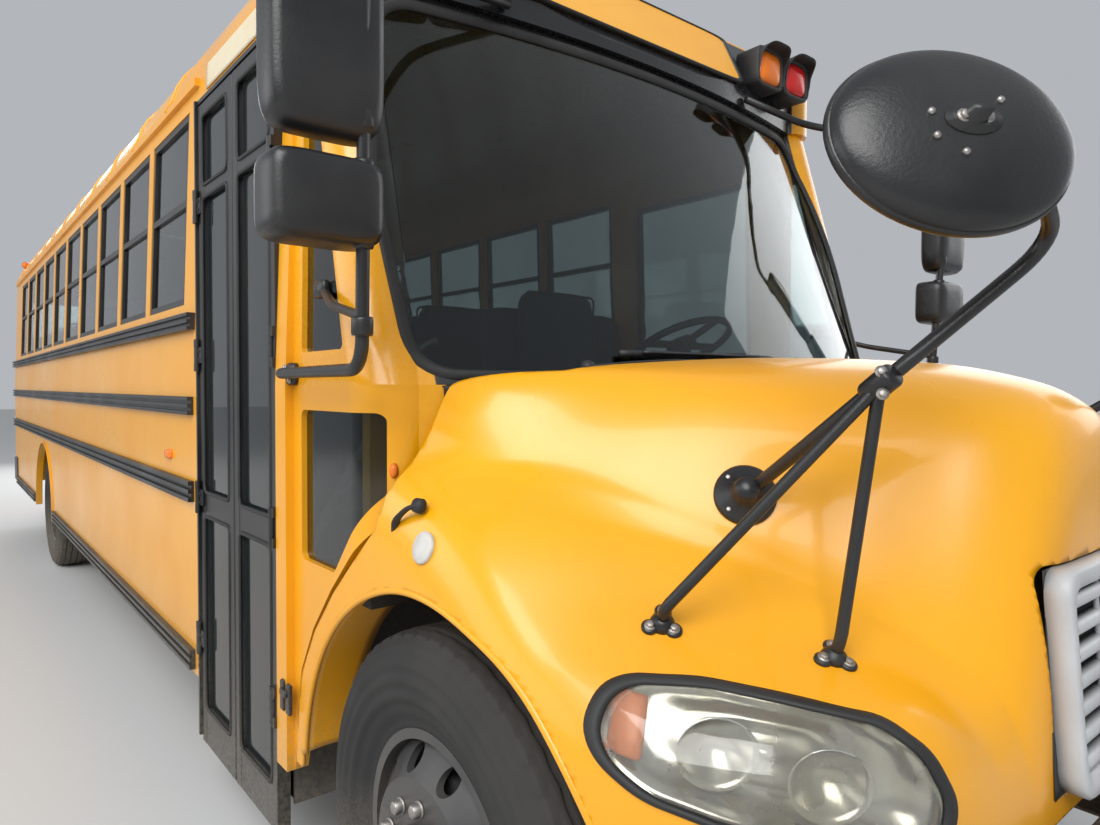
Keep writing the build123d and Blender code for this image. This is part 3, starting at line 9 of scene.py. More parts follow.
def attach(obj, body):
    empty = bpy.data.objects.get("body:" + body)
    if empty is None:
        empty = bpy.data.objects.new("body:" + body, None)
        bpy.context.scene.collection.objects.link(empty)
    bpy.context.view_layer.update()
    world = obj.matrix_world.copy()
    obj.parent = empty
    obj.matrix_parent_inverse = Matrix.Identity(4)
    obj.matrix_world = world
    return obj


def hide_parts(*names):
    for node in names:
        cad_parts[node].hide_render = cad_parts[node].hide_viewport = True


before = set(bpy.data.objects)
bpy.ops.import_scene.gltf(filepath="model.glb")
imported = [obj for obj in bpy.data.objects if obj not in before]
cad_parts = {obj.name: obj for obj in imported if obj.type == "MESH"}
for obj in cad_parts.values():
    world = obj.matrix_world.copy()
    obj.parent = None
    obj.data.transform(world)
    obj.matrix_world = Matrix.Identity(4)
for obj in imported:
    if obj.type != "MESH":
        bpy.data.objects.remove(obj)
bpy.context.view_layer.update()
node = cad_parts


# Camera: a phone held at head height, off the right front corner of the bus, looking back along
# its door side and held almost level.
EYE = (5.672, -2.008, 1.590)
TURN, DIP, LEAN, LENS = 39.2, 1.73, 0.30, 24.97

turn, dip, lean = math.radians(TURN), math.radians(DIP), math.radians(LEAN)
ahead = Vector((-math.cos(turn) * math.cos(dip), math.sin(turn) * math.cos(dip), -math.sin(dip)))
level = ahead.cross(Vector((0, 0, 1))).normalized()
upright = level.cross(ahead)
right = math.cos(lean) * level + math.sin(lean) * upright
up = math.cos(lean) * upright - math.sin(lean) * level
camera = bpy.data.objects.new("camera", bpy.data.cameras.new("camera"))
bpy.context.collection.objects.link(camera)
camera.matrix_world = Matrix((
    (right.x, up.x, -ahead.x, EYE[0]),
    (right.y, up.y, -ahead.y, EYE[1]),
    (right.z, up.z, -ahead.z, EYE[2]),
    (0, 0, 0, 1)))
camera.data.sensor_width = 36
camera.data.lens = LENS
camera.data.clip_start = 0.02
camera.data.clip_end = 200
bpy.context.scene.camera = camera


# Studio: a pale floor that fades into a pale surround, one broad key light on the door side and
# three soft fills, so that paint and glass have long clean reflections.
def object_from(name, points, faces, smooth=True):
    """Makes a mesh object at the origin from an array of points and an array of faces."""
    mesh = bpy.data.meshes.new(name)
    points = np.asarray(points, float).reshape(-1, 3)
    faces = np.asarray(faces, int)
    corners = faces.shape[1]
    mesh.vertices.add(len(points))
    mesh.vertices.foreach_set("co", points.ravel())
    mesh.loops.add(faces.size)
    mesh.loops.foreach_set("vertex_index", faces.ravel())
    mesh.polygons.add(len(faces))
    mesh.polygons.foreach_set("loop_start", np.arange(0, faces.size, corners))
    mesh.polygons.foreach_set("use_smooth", np.full(len(faces), smooth))
    mesh.update(calc_edges=True)
    made = bpy.data.objects.new(name, mesh)
    bpy.context.collection.objects.link(made)
    return made


floor_plate = object_from("studio_floor", [(-60, -60, 0), (60, -60, 0), (60, 60, 0), (-60, 60, 0)],
                          [(0, 1, 2, 3)])
floor_look = bpy.data.materials.new("studio_floor")
floor_look.use_nodes = True
floor_look.node_tree.nodes["Principled BSDF"].inputs["Base Color"].default_value = (0.60, 0.60, 0.59, 1)
floor_look.node_tree.nodes["Principled BSDF"].inputs["Roughness"].default_value = 0.85
floor_plate.data.materials.append(floor_look)


def softbox(name, place, aim, width, height, power):
    """A flat lamp at place, turned to face aim."""
    lamp = bpy.data.lights.new(name, "AREA")
    lamp.shape = "RECTANGLE"
    lamp.size, lamp.size_y, lamp.energy = width, height, power
    holder = bpy.data.objects.new(name, lamp)
    bpy.context.collection.objects.link(holder)
    holder.location = place
    holder.rotation_euler = (Vector(aim) - Vector(place)).to_track_quat("-Z", "Y").to_euler()
    return holder


softbox("key", (9.0, -8.0, 9.5), (3.0, 0, 1.2), 8.0, 8.0, 1500)
softbox("side_fill", (-3.0, -11.0, 5.0), (-1.0, 0, 1.2), 14.0, 5.0, 420)
softbox("far_fill", (2.0, 12.0, 6.0), (0, 0, 1.5), 14.0, 6.0, 480)
softbox("rear_fill", (-12.0, 2.0, 5.0), (0, 0, 1.5), 6.0, 5.0, 500)

world = bpy.data.worlds.new("studio")
bpy.context.scene.world = world
world.use_nodes = True
world.node_tree.nodes["Background"].inputs["Color"].default_value = (0.90, 0.94, 1.0, 1)
world.node_tree.nodes["Background"].inputs["Strength"].default_value = 0.50
bpy.context.scene.view_settings.view_transform = "Standard"
bpy.context.scene.view_settings.exposure = 0.0


# Body panels: pressed steel sheets, painted school-bus yellow and clear-coated. The coat has a
# fine orange peel, faint chalky patches, and road dust that thickens towards the skirt.
def shader(name, **sockets):
    """A new material whose principled shader has the constant values given, by socket name."""
    look = bpy.data.materials.new(name)
    look.use_nodes = True
    principled = look.node_tree.nodes["Principled BSDF"]
    for socket, value in sockets.items():
        principled.inputs[socket.replace("_", " ")].default_value = value
    return look, look.node_tree, principled


def noise(tree, scale, detail=4.0, stretch=(1, 1, 1)):
    """Noise on Object coordinates, finer where scale is larger, drawn out where stretch is small."""
    place = tree.nodes.new("ShaderNodeTexCoord")
    stretched = tree.nodes.new("ShaderNodeMapping")
    stretched.inputs["Scale"].default_value = stretch
    made = tree.nodes.new("ShaderNodeTexNoise")
    made.inputs["Scale"].default_value = scale
    made.inputs["Detail"].default_value = detail
    made.inputs["Roughness"].default_value = 0.55
    tree.links.new(place.outputs["Object"], stretched.inputs["Vector"])
    tree.links.new(stretched.outputs["Vector"], made.inputs["Vector"])
    return made.outputs["Fac"]


def ramp(tree, source, *stops):
    """A colour ramp over a value, from (place, colour) stops."""
    made = tree.nodes.new("ShaderNodeValToRGB")
    band = made.color_ramp
    while len(band.elements) < len(stops):
        band.elements.new(0.5)
    for element, (place, colour) in zip(band.elements, stops):
        element.position = place
        element.color = (*colour, 1)
    tree.links.new(source, made.inputs["Fac"])
    return made.outputs["Color"]


def between(tree, source, low_in, high_in, low_out, high_out):
    """A value carried from one range to another, and held at both ends."""
    made = tree.nodes.new("ShaderNodeMapRange")
    for socket, value in zip(("From Min", "From Max", "To Min", "To Max"),
                             (low_in, high_in, low_out, high_out)):
        made.inputs[socket].default_value = value
    tree.links.new(source, made.inputs["Value"])
    return made.outputs["Result"]


def mixed(tree, share, first, second):
    """Two colours blended by a share; either may be a fixed colour."""
    made = tree.nodes.new("ShaderNodeMix")
    made.data_type = "RGBA"
    tree.links.new(share, made.inputs["Factor"])
    for socket, value in (("A", first), ("B", second)):
        target = [s for s in made.inputs if s.name == socket and s.type == "RGBA"][0]
        if isinstance(value, tuple):
            target.default_value = (*value, 1)
        else:
            tree.links.new(value, target)
    return [s for s in made.outputs if s.type == "RGBA"][0]


def times(tree, first, second):
    """The product of two values; the second may be a number."""
    made = tree.nodes.new("ShaderNodeMath")
    made.operation = "MULTIPLY"
    tree.links.new(first, made.inputs[0])
    if isinstance(second, float):
        made.inputs[1].default_value = second
    else:
        tree.links.new(second, made.inputs[1])
    return made.outputs["Value"]


def part(tree, axis):
    """One Object coordinate, in metres."""
    place = tree.nodes.new("ShaderNodeTexCoord")
    parts = tree.nodes.new("ShaderNodeSeparateXYZ")
    tree.links.new(place.outputs["Object"], parts.inputs["Vector"])
    return parts.outputs[axis]


def bumped(tree, principled, source, strength, distance):
    """Relief from a value."""
    made = tree.nodes.new("ShaderNodeBump")
    made.inputs["Strength"].default_value = strength
    made.inputs["Distance"].default_value = distance
    tree.links.new(source, made.inputs["Height"])
    tree.links.new(made.outputs["Normal"], principled.inputs["Normal"])


def weathered(name, colour, worn, dust, rough, dust_top, patch, grain, relief, **sockets):
    """A finish with broad patches of wear, fine grain, and dust that thickens downwards."""
    look, tree, principled = shader(name, **sockets)
    broad = noise(tree, patch, 5.0)
    base = ramp(tree, broad, (0.35, colour), (0.75, worn))
    specks = noise(tree, grain, 3.0)
    low = times(tree, between(tree, part(tree, "Z"), 0.2, dust_top, 1.0, 0.0),
                between(tree, specks, 0.35, 0.75, 0.15, 1.0))
    tree.links.new(mixed(tree, low, base, dust), principled.inputs["Base Color"])
    tree.links.new(between(tree, broad, 0.3, 0.8, rough, min(1.0, rough * 1.7 + 0.04)),
                   principled.inputs["Roughness"])
    bumped(tree, principled, specks, relief, 0.002)
    return look


def dress(look, *names):
    """Gives CAD nodes a material."""
    for name in names:
        for slot in node[name].material_slots:
            slot.material = look


# Finishes: powder coat on the trim, road dirt on the chassis, vinyl, rubber, moulded plastic and
# lenses, each with its own wear and dust.
DUST = (0.34, 0.25, 0.15)
YELLOW, WORN_YELLOW, BLACK = (0.83, 0.375, 0.004), (0.74, 0.310, 0.008), (0.012, 0.012, 0.013)
FINISHES = (
    # name, colour, worn colour, dust colour, roughness, top of the dust, scale of the patches
    # and of the grain, relief, other sockets, CAD nodes that wear it
    ("body_yellow", YELLOW, WORN_YELLOW, DUST, 0.24, 0.8, 1.3, 55.0, 0.03,
     {"Coat_Weight": 0.22, "Coat_Roughness": 0.08},
     "side_wall_right side_wall_left roof cowl rear_wall rear_door roof_hatch_front roof_hatch_rear"),
    ("black_trim", BLACK, (0.032, 0.031, 0.030), (0.16, 0.14, 0.11), 0.30, 0.9, 2.5, 90.0, 0.15, {},
     "door_frame door_leaf_front door_leaf_rear rub_rails window_frames front_bumper rear_bumper "
     "side_mirrors crossview_mirrors"),
    ("chassis_black", (0.020, 0.019, 0.018), (0.075, 0.045, 0.028), (0.17, 0.13, 0.09), 0.55, 1.3,
     4.0, 35.0, 0.5, {}, "chassis_frame driveline front_axle rear_axle leaf_springs tow_eyes "
     "knuckle_left knuckle_right"),
    ("black_plastic", (0.016, 0.016, 0.017), (0.030, 0.030, 0.031), (0.10, 0.09, 0.08), 0.42, 0.6,
     3.0, 260.0, 0.35, {}, "wipers cowl_vent dashboard steering_wheel"),
    ("tank_steel", (0.10, 0.10, 0.10), (0.16, 0.13, 0.10), DUST, 0.5, 1.0, 3.0, 40.0, 0.3,
     {"Metallic": 0.6}, "fuel_tank"),
    ("exhaust_steel", (0.17, 0.14, 0.12), (0.22, 0.12, 0.06), DUST, 0.55, 1.0, 5.0, 50.0, 0.4,
     {"Metallic": 0.8}, "exhaust"),
    ("floor_rubber", (0.022, 0.022, 0.022), (0.05, 0.047, 0.043), (0.12, 0.10, 0.08), 0.6, 1.2, 2.0,
     70.0, 0.3, {}, "floor wheel_boxes"),
    ("step_tread", (0.05, 0.05, 0.05), (0.10, 0.09, 0.08), (0.18, 0.15, 0.11), 0.45, 1.2, 3.0, 60.0,
     0.3, {}, "stepwell"),
    ("seat_vinyl", (0.030, 0.050, 0.075), (0.045, 0.065, 0.09), (0.10, 0.09, 0.08), 0.45, 0.4, 6.0,
     300.0, 0.25, {}, "passenger_seats_right passenger_seats_left driver_seat"),
    ("rim_black", (0.030, 0.031, 0.034), (0.075, 0.070, 0.064), (0.22, 0.17, 0.12), 0.24, 0.7, 5.0,
     45.0, 0.15, {}, "rim_front_left rim_front_right rim_rear_left rim_rear_right"),
    ("tyre_rubber", (0.014, 0.014, 0.014), (0.040, 0.038, 0.035), (0.20, 0.17, 0.13), 0.75, 0.6, 3.0,
     120.0, 0.4, {}, "tyre_front_left tyre_front_right tyre_rear_inner_left tyre_rear_inner_right "
     "tyre_rear_outer_left tyre_rear_outer_right"),
    ("grille_grey", (0.50, 0.51, 0.52), (0.36, 0.36, 0.36), DUST, 0.35, 0.9, 4.0, 120.0, 0.1, {},
     "grille"),
    ("stop_red", (0.55, 0.012, 0.012), (0.42, 0.02, 0.015), DUST, 0.3, 0.5, 3.0, 80.0, 0.05, {},
     "stop_arm"),
    ("sign_orange", (0.86, 0.42, 0.05), (0.80, 0.38, 0.06), DUST, 0.35, 0.5, 3.0, 300.0, 0.1, {},
     "signs"),
    ("lamp_lens", (0.60, 0.10, 0.01), (0.5, 0.09, 0.01), DUST, 0.15, 0.5, 3.0, 200.0, 0.05, {},
     "lamps"),
    ("lamp_silver", (0.62, 0.62, 0.60), (0.48, 0.47, 0.44), (0.3, 0.27, 0.2), 0.18, 0.3, 8.0, 150.0,
     0.05, {"Metallic": 0.9}, ""),
    ("amber_lens", (0.85, 0.20, 0.01), (0.7, 0.16, 0.01), DUST, 0.2, 0.3, 9.0, 200.0, 0.05, {}, ""),
    ("rubber_gasket", (0.010, 0.010, 0.010), (0.03, 0.03, 0.03), (0.12, 0.10, 0.07), 0.5, 0.6, 6.0,
     120.0, 0.2, {}, ""),
    ("mirror_black", (0.010, 0.010, 0.011), (0.022, 0.022, 0.022), (0.10, 0.09, 0.07), 0.28, 0.4,
     4.0, 140.0, 0.25, {}, ""),
    ("bolt_steel", (0.42, 0.41, 0.40), (0.30, 0.26, 0.22), (0.2, 0.17, 0.12), 0.35, 0.4, 20.0, 200.0,
     0.1, {"Metallic": 0.85}, ""),
    ("mirror_face", (0.75, 0.76, 0.78), (0.66, 0.67, 0.69), (0.4, 0.38, 0.33), 0.04, 0.4, 3.0, 60.0,
     0.02, {"Metallic": 1.0}, ""),
    ("reflector_lens", (0.62, 0.60, 0.56), (0.5, 0.5, 0.48), DUST, 0.12, 0.3, 60.0, 900.0, 0.5, {}, ""),
    ("red_lens", (0.62, 0.012, 0.008), (0.50, 0.012, 0.010), DUST, 0.14, 0.3, 8.0, 260.0, 0.15, {}, ""),
    ("cream_plate", (0.70, 0.62, 0.45), (0.62, 0.52, 0.34), DUST, 0.4, 0.4, 3.0, 150.0, 0.1, {}, ""),
    ("sign_white", (0.75, 0.75, 0.72), (0.60, 0.58, 0.52), DUST, 0.3, 0.4, 3.0, 150.0, 0.05, {}, ""))
LOOKS = {}
for *values, sockets, wearers in FINISHES:
    LOOKS[values[0]] = weathered(*values, **sockets)
    dress(LOOKS[values[0]], *wearers.split())


# Glazing: laminated and toughened panes with a grey-green tint, darker in the door, and the clear
# moulded lenses of the headlamps, all with faint upright streaks.
for name, scale, stretch, dark, light, sockets in (
        # name, scale and stretch of the streaks, the ramp's two stops, sockets
        ("tinted_glass", (5.0, 5.0), 0.25, (0.3, (0.34, 0.40, 0.40)), (0.8, (0.27, 0.33, 0.33)),
         {"Roughness": 0.02, "IOR": 1.45, "Transmission_Weight": 1.0, "Specular_IOR_Level": 0.5}),
        ("door_glass", (3.0, 5.0), 0.3, (0.3, (0.055, 0.070, 0.075)), (0.8, (0.095, 0.105, 0.100)),
         {"Roughness": 0.03, "IOR": 1.5, "Transmission_Weight": 0.75, "Specular_IOR_Level": 0.6}),
        ("headlamp_lens", (9.0, 4.0), 0.4, (0.35, (0.88, 0.88, 0.84)), (0.8, (0.78, 0.74, 0.62)),
         {"Roughness": 0.06, "IOR": 1.35, "Transmission_Weight": 0.92})):
    LOOKS[name], tree, principled = shader(name, **sockets)
    streaks = ramp(tree, noise(tree, *scale, (1, 1, stretch)), dark, light)
    tree.links.new(streaks, principled.inputs["Base Color"])
dress(LOOKS["tinted_glass"], "windshield", "window_glass", "rear_glass", "cowl_windows")


# Front cap: body yellow at its ends and along its top, with a black panel behind the sign and the
# lamps, down to the windshield.
LOOKS["cap_paint"], tree, principled = shader("cap_paint", Coat_Weight=0.3, Coat_Roughness=0.1)
cap_side = tree.nodes.new("ShaderNodeMath")
cap_side.operation = "ABSOLUTE"
tree.links.new(part(tree, "Y"), cap_side.inputs[0])
panel = times(tree, between(tree, cap_side.outputs["Value"], 1.030, 1.034, 1.0, 0.0),
              between(tree, part(tree, "Z"), 3.050, 3.054, 1.0, 0.0))
panel = times(tree, panel, between(tree, part(tree, "X"), 3.310, 3.314, 0.0, 1.0))
wear = ramp(tree, noise(tree, 1.3, 5.0), (0.35, YELLOW), (0.75, WORN_YELLOW))
tree.links.new(mixed(tree, panel, wear, BLACK), principled.inputs["Base Color"])
tree.links.new(between(tree, noise(tree, 60.0), 0.3, 0.8, 0.22, 0.36), principled.inputs["Roughness"])
dress(LOOKS["cap_paint"], "front_cap")


# Places that the pieces share, in metres: axles, half the body's width, the rear wall, the wheel
# arches, the pitch of the side windows, and the leaning face of the nose.
FRONT_AXLE, REAR_AXLE, AXLE_HEIGHT = 4.210, -2.369, 0.520
HALF_WIDTH, REAR_WALL = 1.219, -5.190
ARCH_RADIUS, WINDOW_PITCH = 0.620, 0.6985
NOSE_LOW, NOSE_HIGH = (1.000, 0.755), (0.965, 1.250)


# Shapes: each is a pair of points and four-cornered faces, made from rings or grids of points.
def at(x, y, z):
    """A place by its distance ahead of the front axle, to the left, and above the ground."""
    return np.array((FRONT_AXLE + x, y, z))


def track(*parts):
    """Points from arrays of their coordinates, spread to one shape."""
    return np.stack(np.broadcast_arrays(*parts), -1)


def unit(vectors):
    """Vectors brought to length 1."""
    vectors = np.asarray(vectors, float)
    return vectors / np.linalg.norm(vectors, axis=-1, keepdims=True)


def grid_faces(rows, columns, closed=False):
    """Quads between neighbouring points of a grid numbered row by row; closed joins the last
    column to the first."""
    row, column = np.meshgrid(np.arange(rows - 1), np.arange(columns if closed else columns - 1),
                              indexing="ij")
    after = (column + 1) % columns
    return np.stack([row * columns + column, (row + 1) * columns + column,
                     (row + 1) * columns + after, row * columns + after], -1).reshape(-1, 4)


def sheet(x, y, z, closed=False):
    """A grid of points from arrays of their coordinates, with its faces."""
    points = track(x, y, z)
    return points.reshape(-1, 3), grid_faces(*points.shape[:2], closed)


def joined(*shapes):
    """Several (points, faces) pairs as one pair."""
    points = [np.asarray(shape[0], float).reshape(-1, 3) for shape in shapes]
    starts = np.cumsum([0] + [len(p) for p in points[:-1]])
    return np.concatenate(points), np.concatenate([f + s for (_, f), s in zip(shapes, starts)])


def both(points, faces):
    """A shape and its mirror image in y."""
    turned_over = np.asarray(points, float).reshape(-1, 3) * (1, -1, 1)
    return joined((points, faces), (turned_over, faces[:, ::-1]))


def piece(name, shapes, look, body, wall=0.0, smooth=True, closed=True, mirror=False):
    """A finished mesh on a body, with its mirror image if asked: doubles merged, closed shells
    turned to face outwards, and a wall given to open skins by Solidify."""
    shape = joined(*shapes)
    made = object_from(name, *(both(*shape) if mirror else shape), smooth)
    tidy = bmesh.new()
    tidy.from_mesh(made.data)
    bmesh.ops.remove_doubles(tidy, verts=tidy.verts, dist=2e-5)
    bmesh.ops.dissolve_degenerate(tidy, edges=tidy.edges, dist=1e-5)
    if closed:
        bmesh.ops.recalc_face_normals(tidy, faces=tidy.faces)
    tidy.to_mesh(made.data)
    tidy.free()
    if wall:
        solid = made.modifiers.new("wall", "SOLIDIFY")
        solid.thickness, solid.offset = wall, -1
    made.data.materials.append(LOOKS[look])
    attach(made, body)
    return made


def rounded_outline(corners, bend, steps=6):
    """An outline whose corners are replaced by quadratic curves that start at bend from each."""
    corners = np.asarray(corners, float)
    before, after = np.roll(corners, 1, 0), np.roll(corners, -1, 0)
    def cut(ends):
        run = ends - corners
        length = np.linalg.norm(run, axis=1, keepdims=True)
        return corners + run * np.minimum(bend / length, 0.48)
    t = np.linspace(0, 1, steps)[None, :, None]
    start, end = cut(before)[:, None], cut(after)[:, None]
    return ((1 - t)**2 * start + 2 * t * (1 - t) * corners[:, None] + t**2 * end).reshape(-1, 2)


def bent_path(corners, bend=0.05, steps=8):
    """A path whose inner corners are quadratic curves that start at bend from each corner."""
    corners = np.asarray(corners, float)
    line = [np.linspace(corners[0], corners[0] + (corners[1] - corners[0]) * 0.02, 2)]
    for before, corner, after in zip(corners, corners[1:], corners[2:]):
        start = corner + (before - corner) * min(0.45, bend / np.linalg.norm(before - corner))
        end = corner + (after - corner) * min(0.45, bend / np.linalg.norm(after - corner))
        t = np.linspace(0, 1, steps)[:, None]
        line.append((1 - t)**2 * start + 2 * t * (1 - t) * corner + t**2 * end)
    line.append(corners[-1:])
    return np.concatenate(line)


def tube(path, radius, sides=14, flat=1.0, lift=(0, 0, 1), loop=False):
    """A tube along a row of points: at each, a ring radius (cos a u + flat sin a v) with u and v
    square to the path. Its ends are drawn to their middles, or it closes on itself as a loop."""
    path = np.asarray(path, float)
    run = unit(np.roll(path, -1, 0) - np.roll(path, 1, 0) if loop else np.gradient(path, axis=0))
    across = unit(np.cross(run, np.asarray(lift, float)))
    over = np.cross(across, run)
    turn = np.linspace(0, 2 * np.pi, sides, endpoint=False)
    rings = path[:, None] + radius * (np.cos(turn)[None, :, None] * across[:, None]
                                      + flat * np.sin(turn)[None, :, None] * over[:, None])
    ends = np.repeat(path[[0, -1]][:, None], sides, 1)
    rings = np.concatenate([rings, rings[:1]] if loop else [ends[:1], rings, ends[1:]])
    return rings.reshape(-1, 3), grid_faces(len(rings), sides, True)


def turned(profile, origin, axis, sides=24, wide=1.0, tall=1.0, up=(0, 0, 1), power=2.0):
    """A profile of (radius, height) turned about an axis: origin + height axis + radius (wide c u
    + tall s v), where c and s are a superellipse's cosine and sine."""
    profile, axis = np.asarray(profile, float), unit(axis)
    across = unit(np.cross(np.asarray(up, float), axis))
    over = np.cross(axis, across)
    turn = np.linspace(0, 2 * np.pi, sides, endpoint=False)
    cosine = np.sign(np.cos(turn)) * np.abs(np.cos(turn))**(2 / power)
    sine = np.sign(np.sin(turn)) * np.abs(np.sin(turn))**(2 / power)
    points = (np.asarray(origin, float)
              + (profile[:, :1] * wide * cosine)[..., None] * across
              + (profile[:, :1] * tall * sine)[..., None] * over
              + (profile[:, 1:] + 0 * turn)[..., None] * axis)
    return points.reshape(-1, 3), grid_faces(len(profile), sides, True)


def around(centre, axis, radius, degrees, toward):
    """Places on a circle about an axis, at angles from the way square to the axis and toward."""
    side = unit(np.cross(axis, toward))
    other = np.cross(axis, side)
    turn = np.radians(degrees)[:, None]
    return np.asarray(centre, float) + radius * (np.cos(turn) * side + np.sin(turn) * other)


def bolt(place, axis, size=0.008):
    """A washer with a six-sided head on it."""
    return joined(turned(((0, 0), (size * 1.35, 0), (size * 1.35, size * 0.3), (0, size * 0.3)), place,
                         axis, 16),
                  turned(((size * 0.9, size * 0.3), (size * 0.9, size * 0.9), (size * 0.75, size),
                          (0, size)), place, axis, 6))


def bar(start, end, wide, deep, across, bend=0.004):
    """A straight bar with a rounded rectangular section, its ends drawn in by the bend: rings of
    corner arcs at the start, a bend further on, and the same at the other end."""
    start, end = np.asarray(start, float), np.asarray(end, float)
    run, across = unit(end - start), unit(across)
    over = np.cross(run, across)
    turn = np.radians(np.arange(0, 360, 30) + 15.0)
    corner_a = np.sign(np.cos(turn)) * (wide / 2 - bend)
    corner_b = np.sign(np.sin(turn)) * (deep / 2 - bend)
    rings = []
    for place, size in ((start, 0.0), (start, 0.001), (start + run * bend, 1.0), (end - run * bend, 1.0),
                        (end, 0.001), (end, 0.0)):
        a = corner_a + size * bend * np.cos(turn)
        b = corner_b + size * bend * np.sin(turn)
        if size == 0.0:
            a, b = a * 0, b * 0
        rings.append(place + a[:, None] * across + b[:, None] * over)
    return np.concatenate(rings), grid_faces(6, 12, True)


def pane(x_from, x_to, y, z_from, z_to, thick=0.005):
    """A sheet of glass across x and z, with bent edges as in bar."""
    return bar((x_from, y, (z_from + z_to) / 2), (x_to, y, (z_from + z_to) / 2), z_to - z_from, thick,
               (0, 0, 1), 0.002)


def seal(x_from, x_to, y, z_from, z_to, radius=0.007, order=(0, 1, 2)):
    """A rubber bead round an opening in a wall that faces y, or x where the order is (1, 0, 2)."""
    corners = rounded_outline(((x_from, z_from), (x_from, z_to), (x_to, z_to), (x_to, z_from)), 0.03, 5)
    points = track(corners[:, 0], y, corners[:, 1])[:, order]
    return tube(points, radius, 8, 0.8, np.eye(3)[order[1]], loop=True)


# Hood: one moulded shell, hinged at the front. A dome that is wide at the windshield narrows
# towards the grille between two rounded valleys, and a fender on each side carries a headlamp
# and is cut out round its wheel. Its edges are turned in.
HOOD_ROWS = np.array((
    # ahead of the axle, crown, shoulder y z, valley y z, ridge y z, fender edge y z, dome a n
    (-0.72, 1.762, 1.090, 1.600, 1.130, 1.450, 1.160, 1.445, 1.190, 1.420, 0.30, 20.0),
    (-0.15, 1.700, 1.060, 1.530, 1.115, 1.375, 1.150, 1.372, 1.185, 1.350, 0.30, 18.0),
    (0.10, 1.688, 0.925, 1.462, 1.000, 1.372, 1.060, 1.362, 1.130, 1.310, 0.30, 13.0),
    (0.40, 1.676, 0.727, 1.398, 0.810, 1.285, 0.900, 1.235, 1.109, 1.130, 0.40, 7.0),
    (0.65, 1.650, 0.565, 1.305, 0.660, 1.165, 0.790, 1.135, 1.109, 1.005, 0.50, 5.4),
    (0.90, 1.580, 0.405, 1.240, 0.520, 0.975, 0.730, 1.050, 1.109, 0.900, 0.55, 5.0),
    (1.01, 1.540, 0.360, 1.225, 0.480, 0.860, 0.730, 1.000, 1.109, 0.860, 0.55, 5.0)))
HOOD_CORNER = 0.790


def row_value(x, column):
    """A cubic curve through the hood's rows: between two of them the Hermite blend of their
    values and their central slopes."""
    places, values = HOOD_ROWS[:, 0], HOOD_ROWS[:, column]
    slopes = np.gradient(values, places)
    x = np.clip(x, places[0], places[-1])
    k = np.clip(np.searchsorted(places, x, side="right") - 1, 0, len(places) - 2)
    width = places[k + 1] - places[k]
    t = (x - places[k]) / width
    return ((2 * t**3 - 3 * t**2 + 1) * values[k] + (t**3 - 2 * t**2 + t) * width * slopes[k]
            + (3 * t**2 - 2 * t**3) * values[k + 1] + (t**3 - t**2) * width * slopes[k + 1])


def soft_max(first, second, width):
    """The larger of two values, with the corner between them rounded over a width."""
    gap = np.maximum(width - np.abs(first - second), 0) / width
    return np.maximum(first, second) + gap * gap * width / 4


def beyond_line(start_y, start_z, end_y, end_z, y, z):
    """Distance above the line from one (y, z) point to another."""
    run_y, run_z = end_y - start_y, end_z - start_z
    return ((z - start_z) * run_y - (y - start_y) * run_z) / np.hypot(run_y, run_z)


def nose_x(z):
    """The leaning face of the nose at a height."""
    return FRONT_AXLE + NOSE_LOW[0] - (z - NOSE_LOW[1]) * (NOSE_LOW[0] - NOSE_HIGH[0]) / (
        NOSE_HIGH[1] - NOSE_LOW[1])


def grille_half(z):
    """Half the width of the grille's opening at a height."""
    return 0.330 + (z - 0.800) * 0.0533


def round_corner(first, second, radius):
    """Distance past two edges that meet in a corner of a radius, below zero inside."""
    return (np.hypot(np.maximum(first, 0), np.maximum(second, 0))
            + np.minimum(np.maximum(first, second), 0) - radius)


def hood_field(p):
    """Below zero inside the hood, above zero outside, near the distance in metres. In a section,
    the dome z = crown - drop (a t^2 + (1 - a) t^n) with t = y / shoulder is cut by its side, and
    joined softly to a wing of four lines; plan corner and nose are then cut off it softly."""
    x, y, z = p[..., 0] - FRONT_AXLE, np.abs(p[..., 1]), p[..., 2]
    crown, sy, sz, vy, vz, ry, rz, ey, ez, share, power = (row_value(x, n) for n in range(1, 12))
    t = np.minimum(y / sy, 1.12)
    top = z - crown + (crown - sz) * (share * t**2 + (1 - share) * t**power)
    steep = (crown - sz) / sy * (2 * share * t + (1 - share) * power * t**(power - 1))
    dome = soft_max(top / np.sqrt(1 + steep**2), beyond_line(sy, sz, vy, vz, y, z), 0.05)
    out = np.maximum(y, vy - 0.04)
    wing = soft_max(beyond_line(vy, vz, ry, rz, out, z), beyond_line(ry, rz, ey, ez, out, z), 0.07)
    wing = soft_max(wing, beyond_line(ey, ez, HALF_WIDTH, ez - 0.13, out, z), 0.09)
    wing = soft_max(wing, y - HALF_WIDTH, 0.10)
    section = -soft_max(-dome, -wing, 0.08)
    plan = round_corner(y - (HALF_WIDTH - HOOD_CORNER), x - (NOSE_LOW[0] - HOOD_CORNER), HOOD_CORNER)
    return soft_max(soft_max(section, plan, 0.10), p[..., 0] - nose_x(z), 0.16)


def reach(field, start, way, far, steps=30):
    """The point on each ray from start where the field turns positive, by halving."""
    near, beyond = np.zeros(start.shape[:-1]), np.full(start.shape[:-1], float(far))
    for _ in range(steps):
        middle = (near + beyond) / 2
        outside = field(start + way * middle[..., None]) > 0
        near, beyond = np.where(outside, near, middle), np.where(outside, middle, beyond)
    return start + way * ((near + beyond) / 2)[..., None]


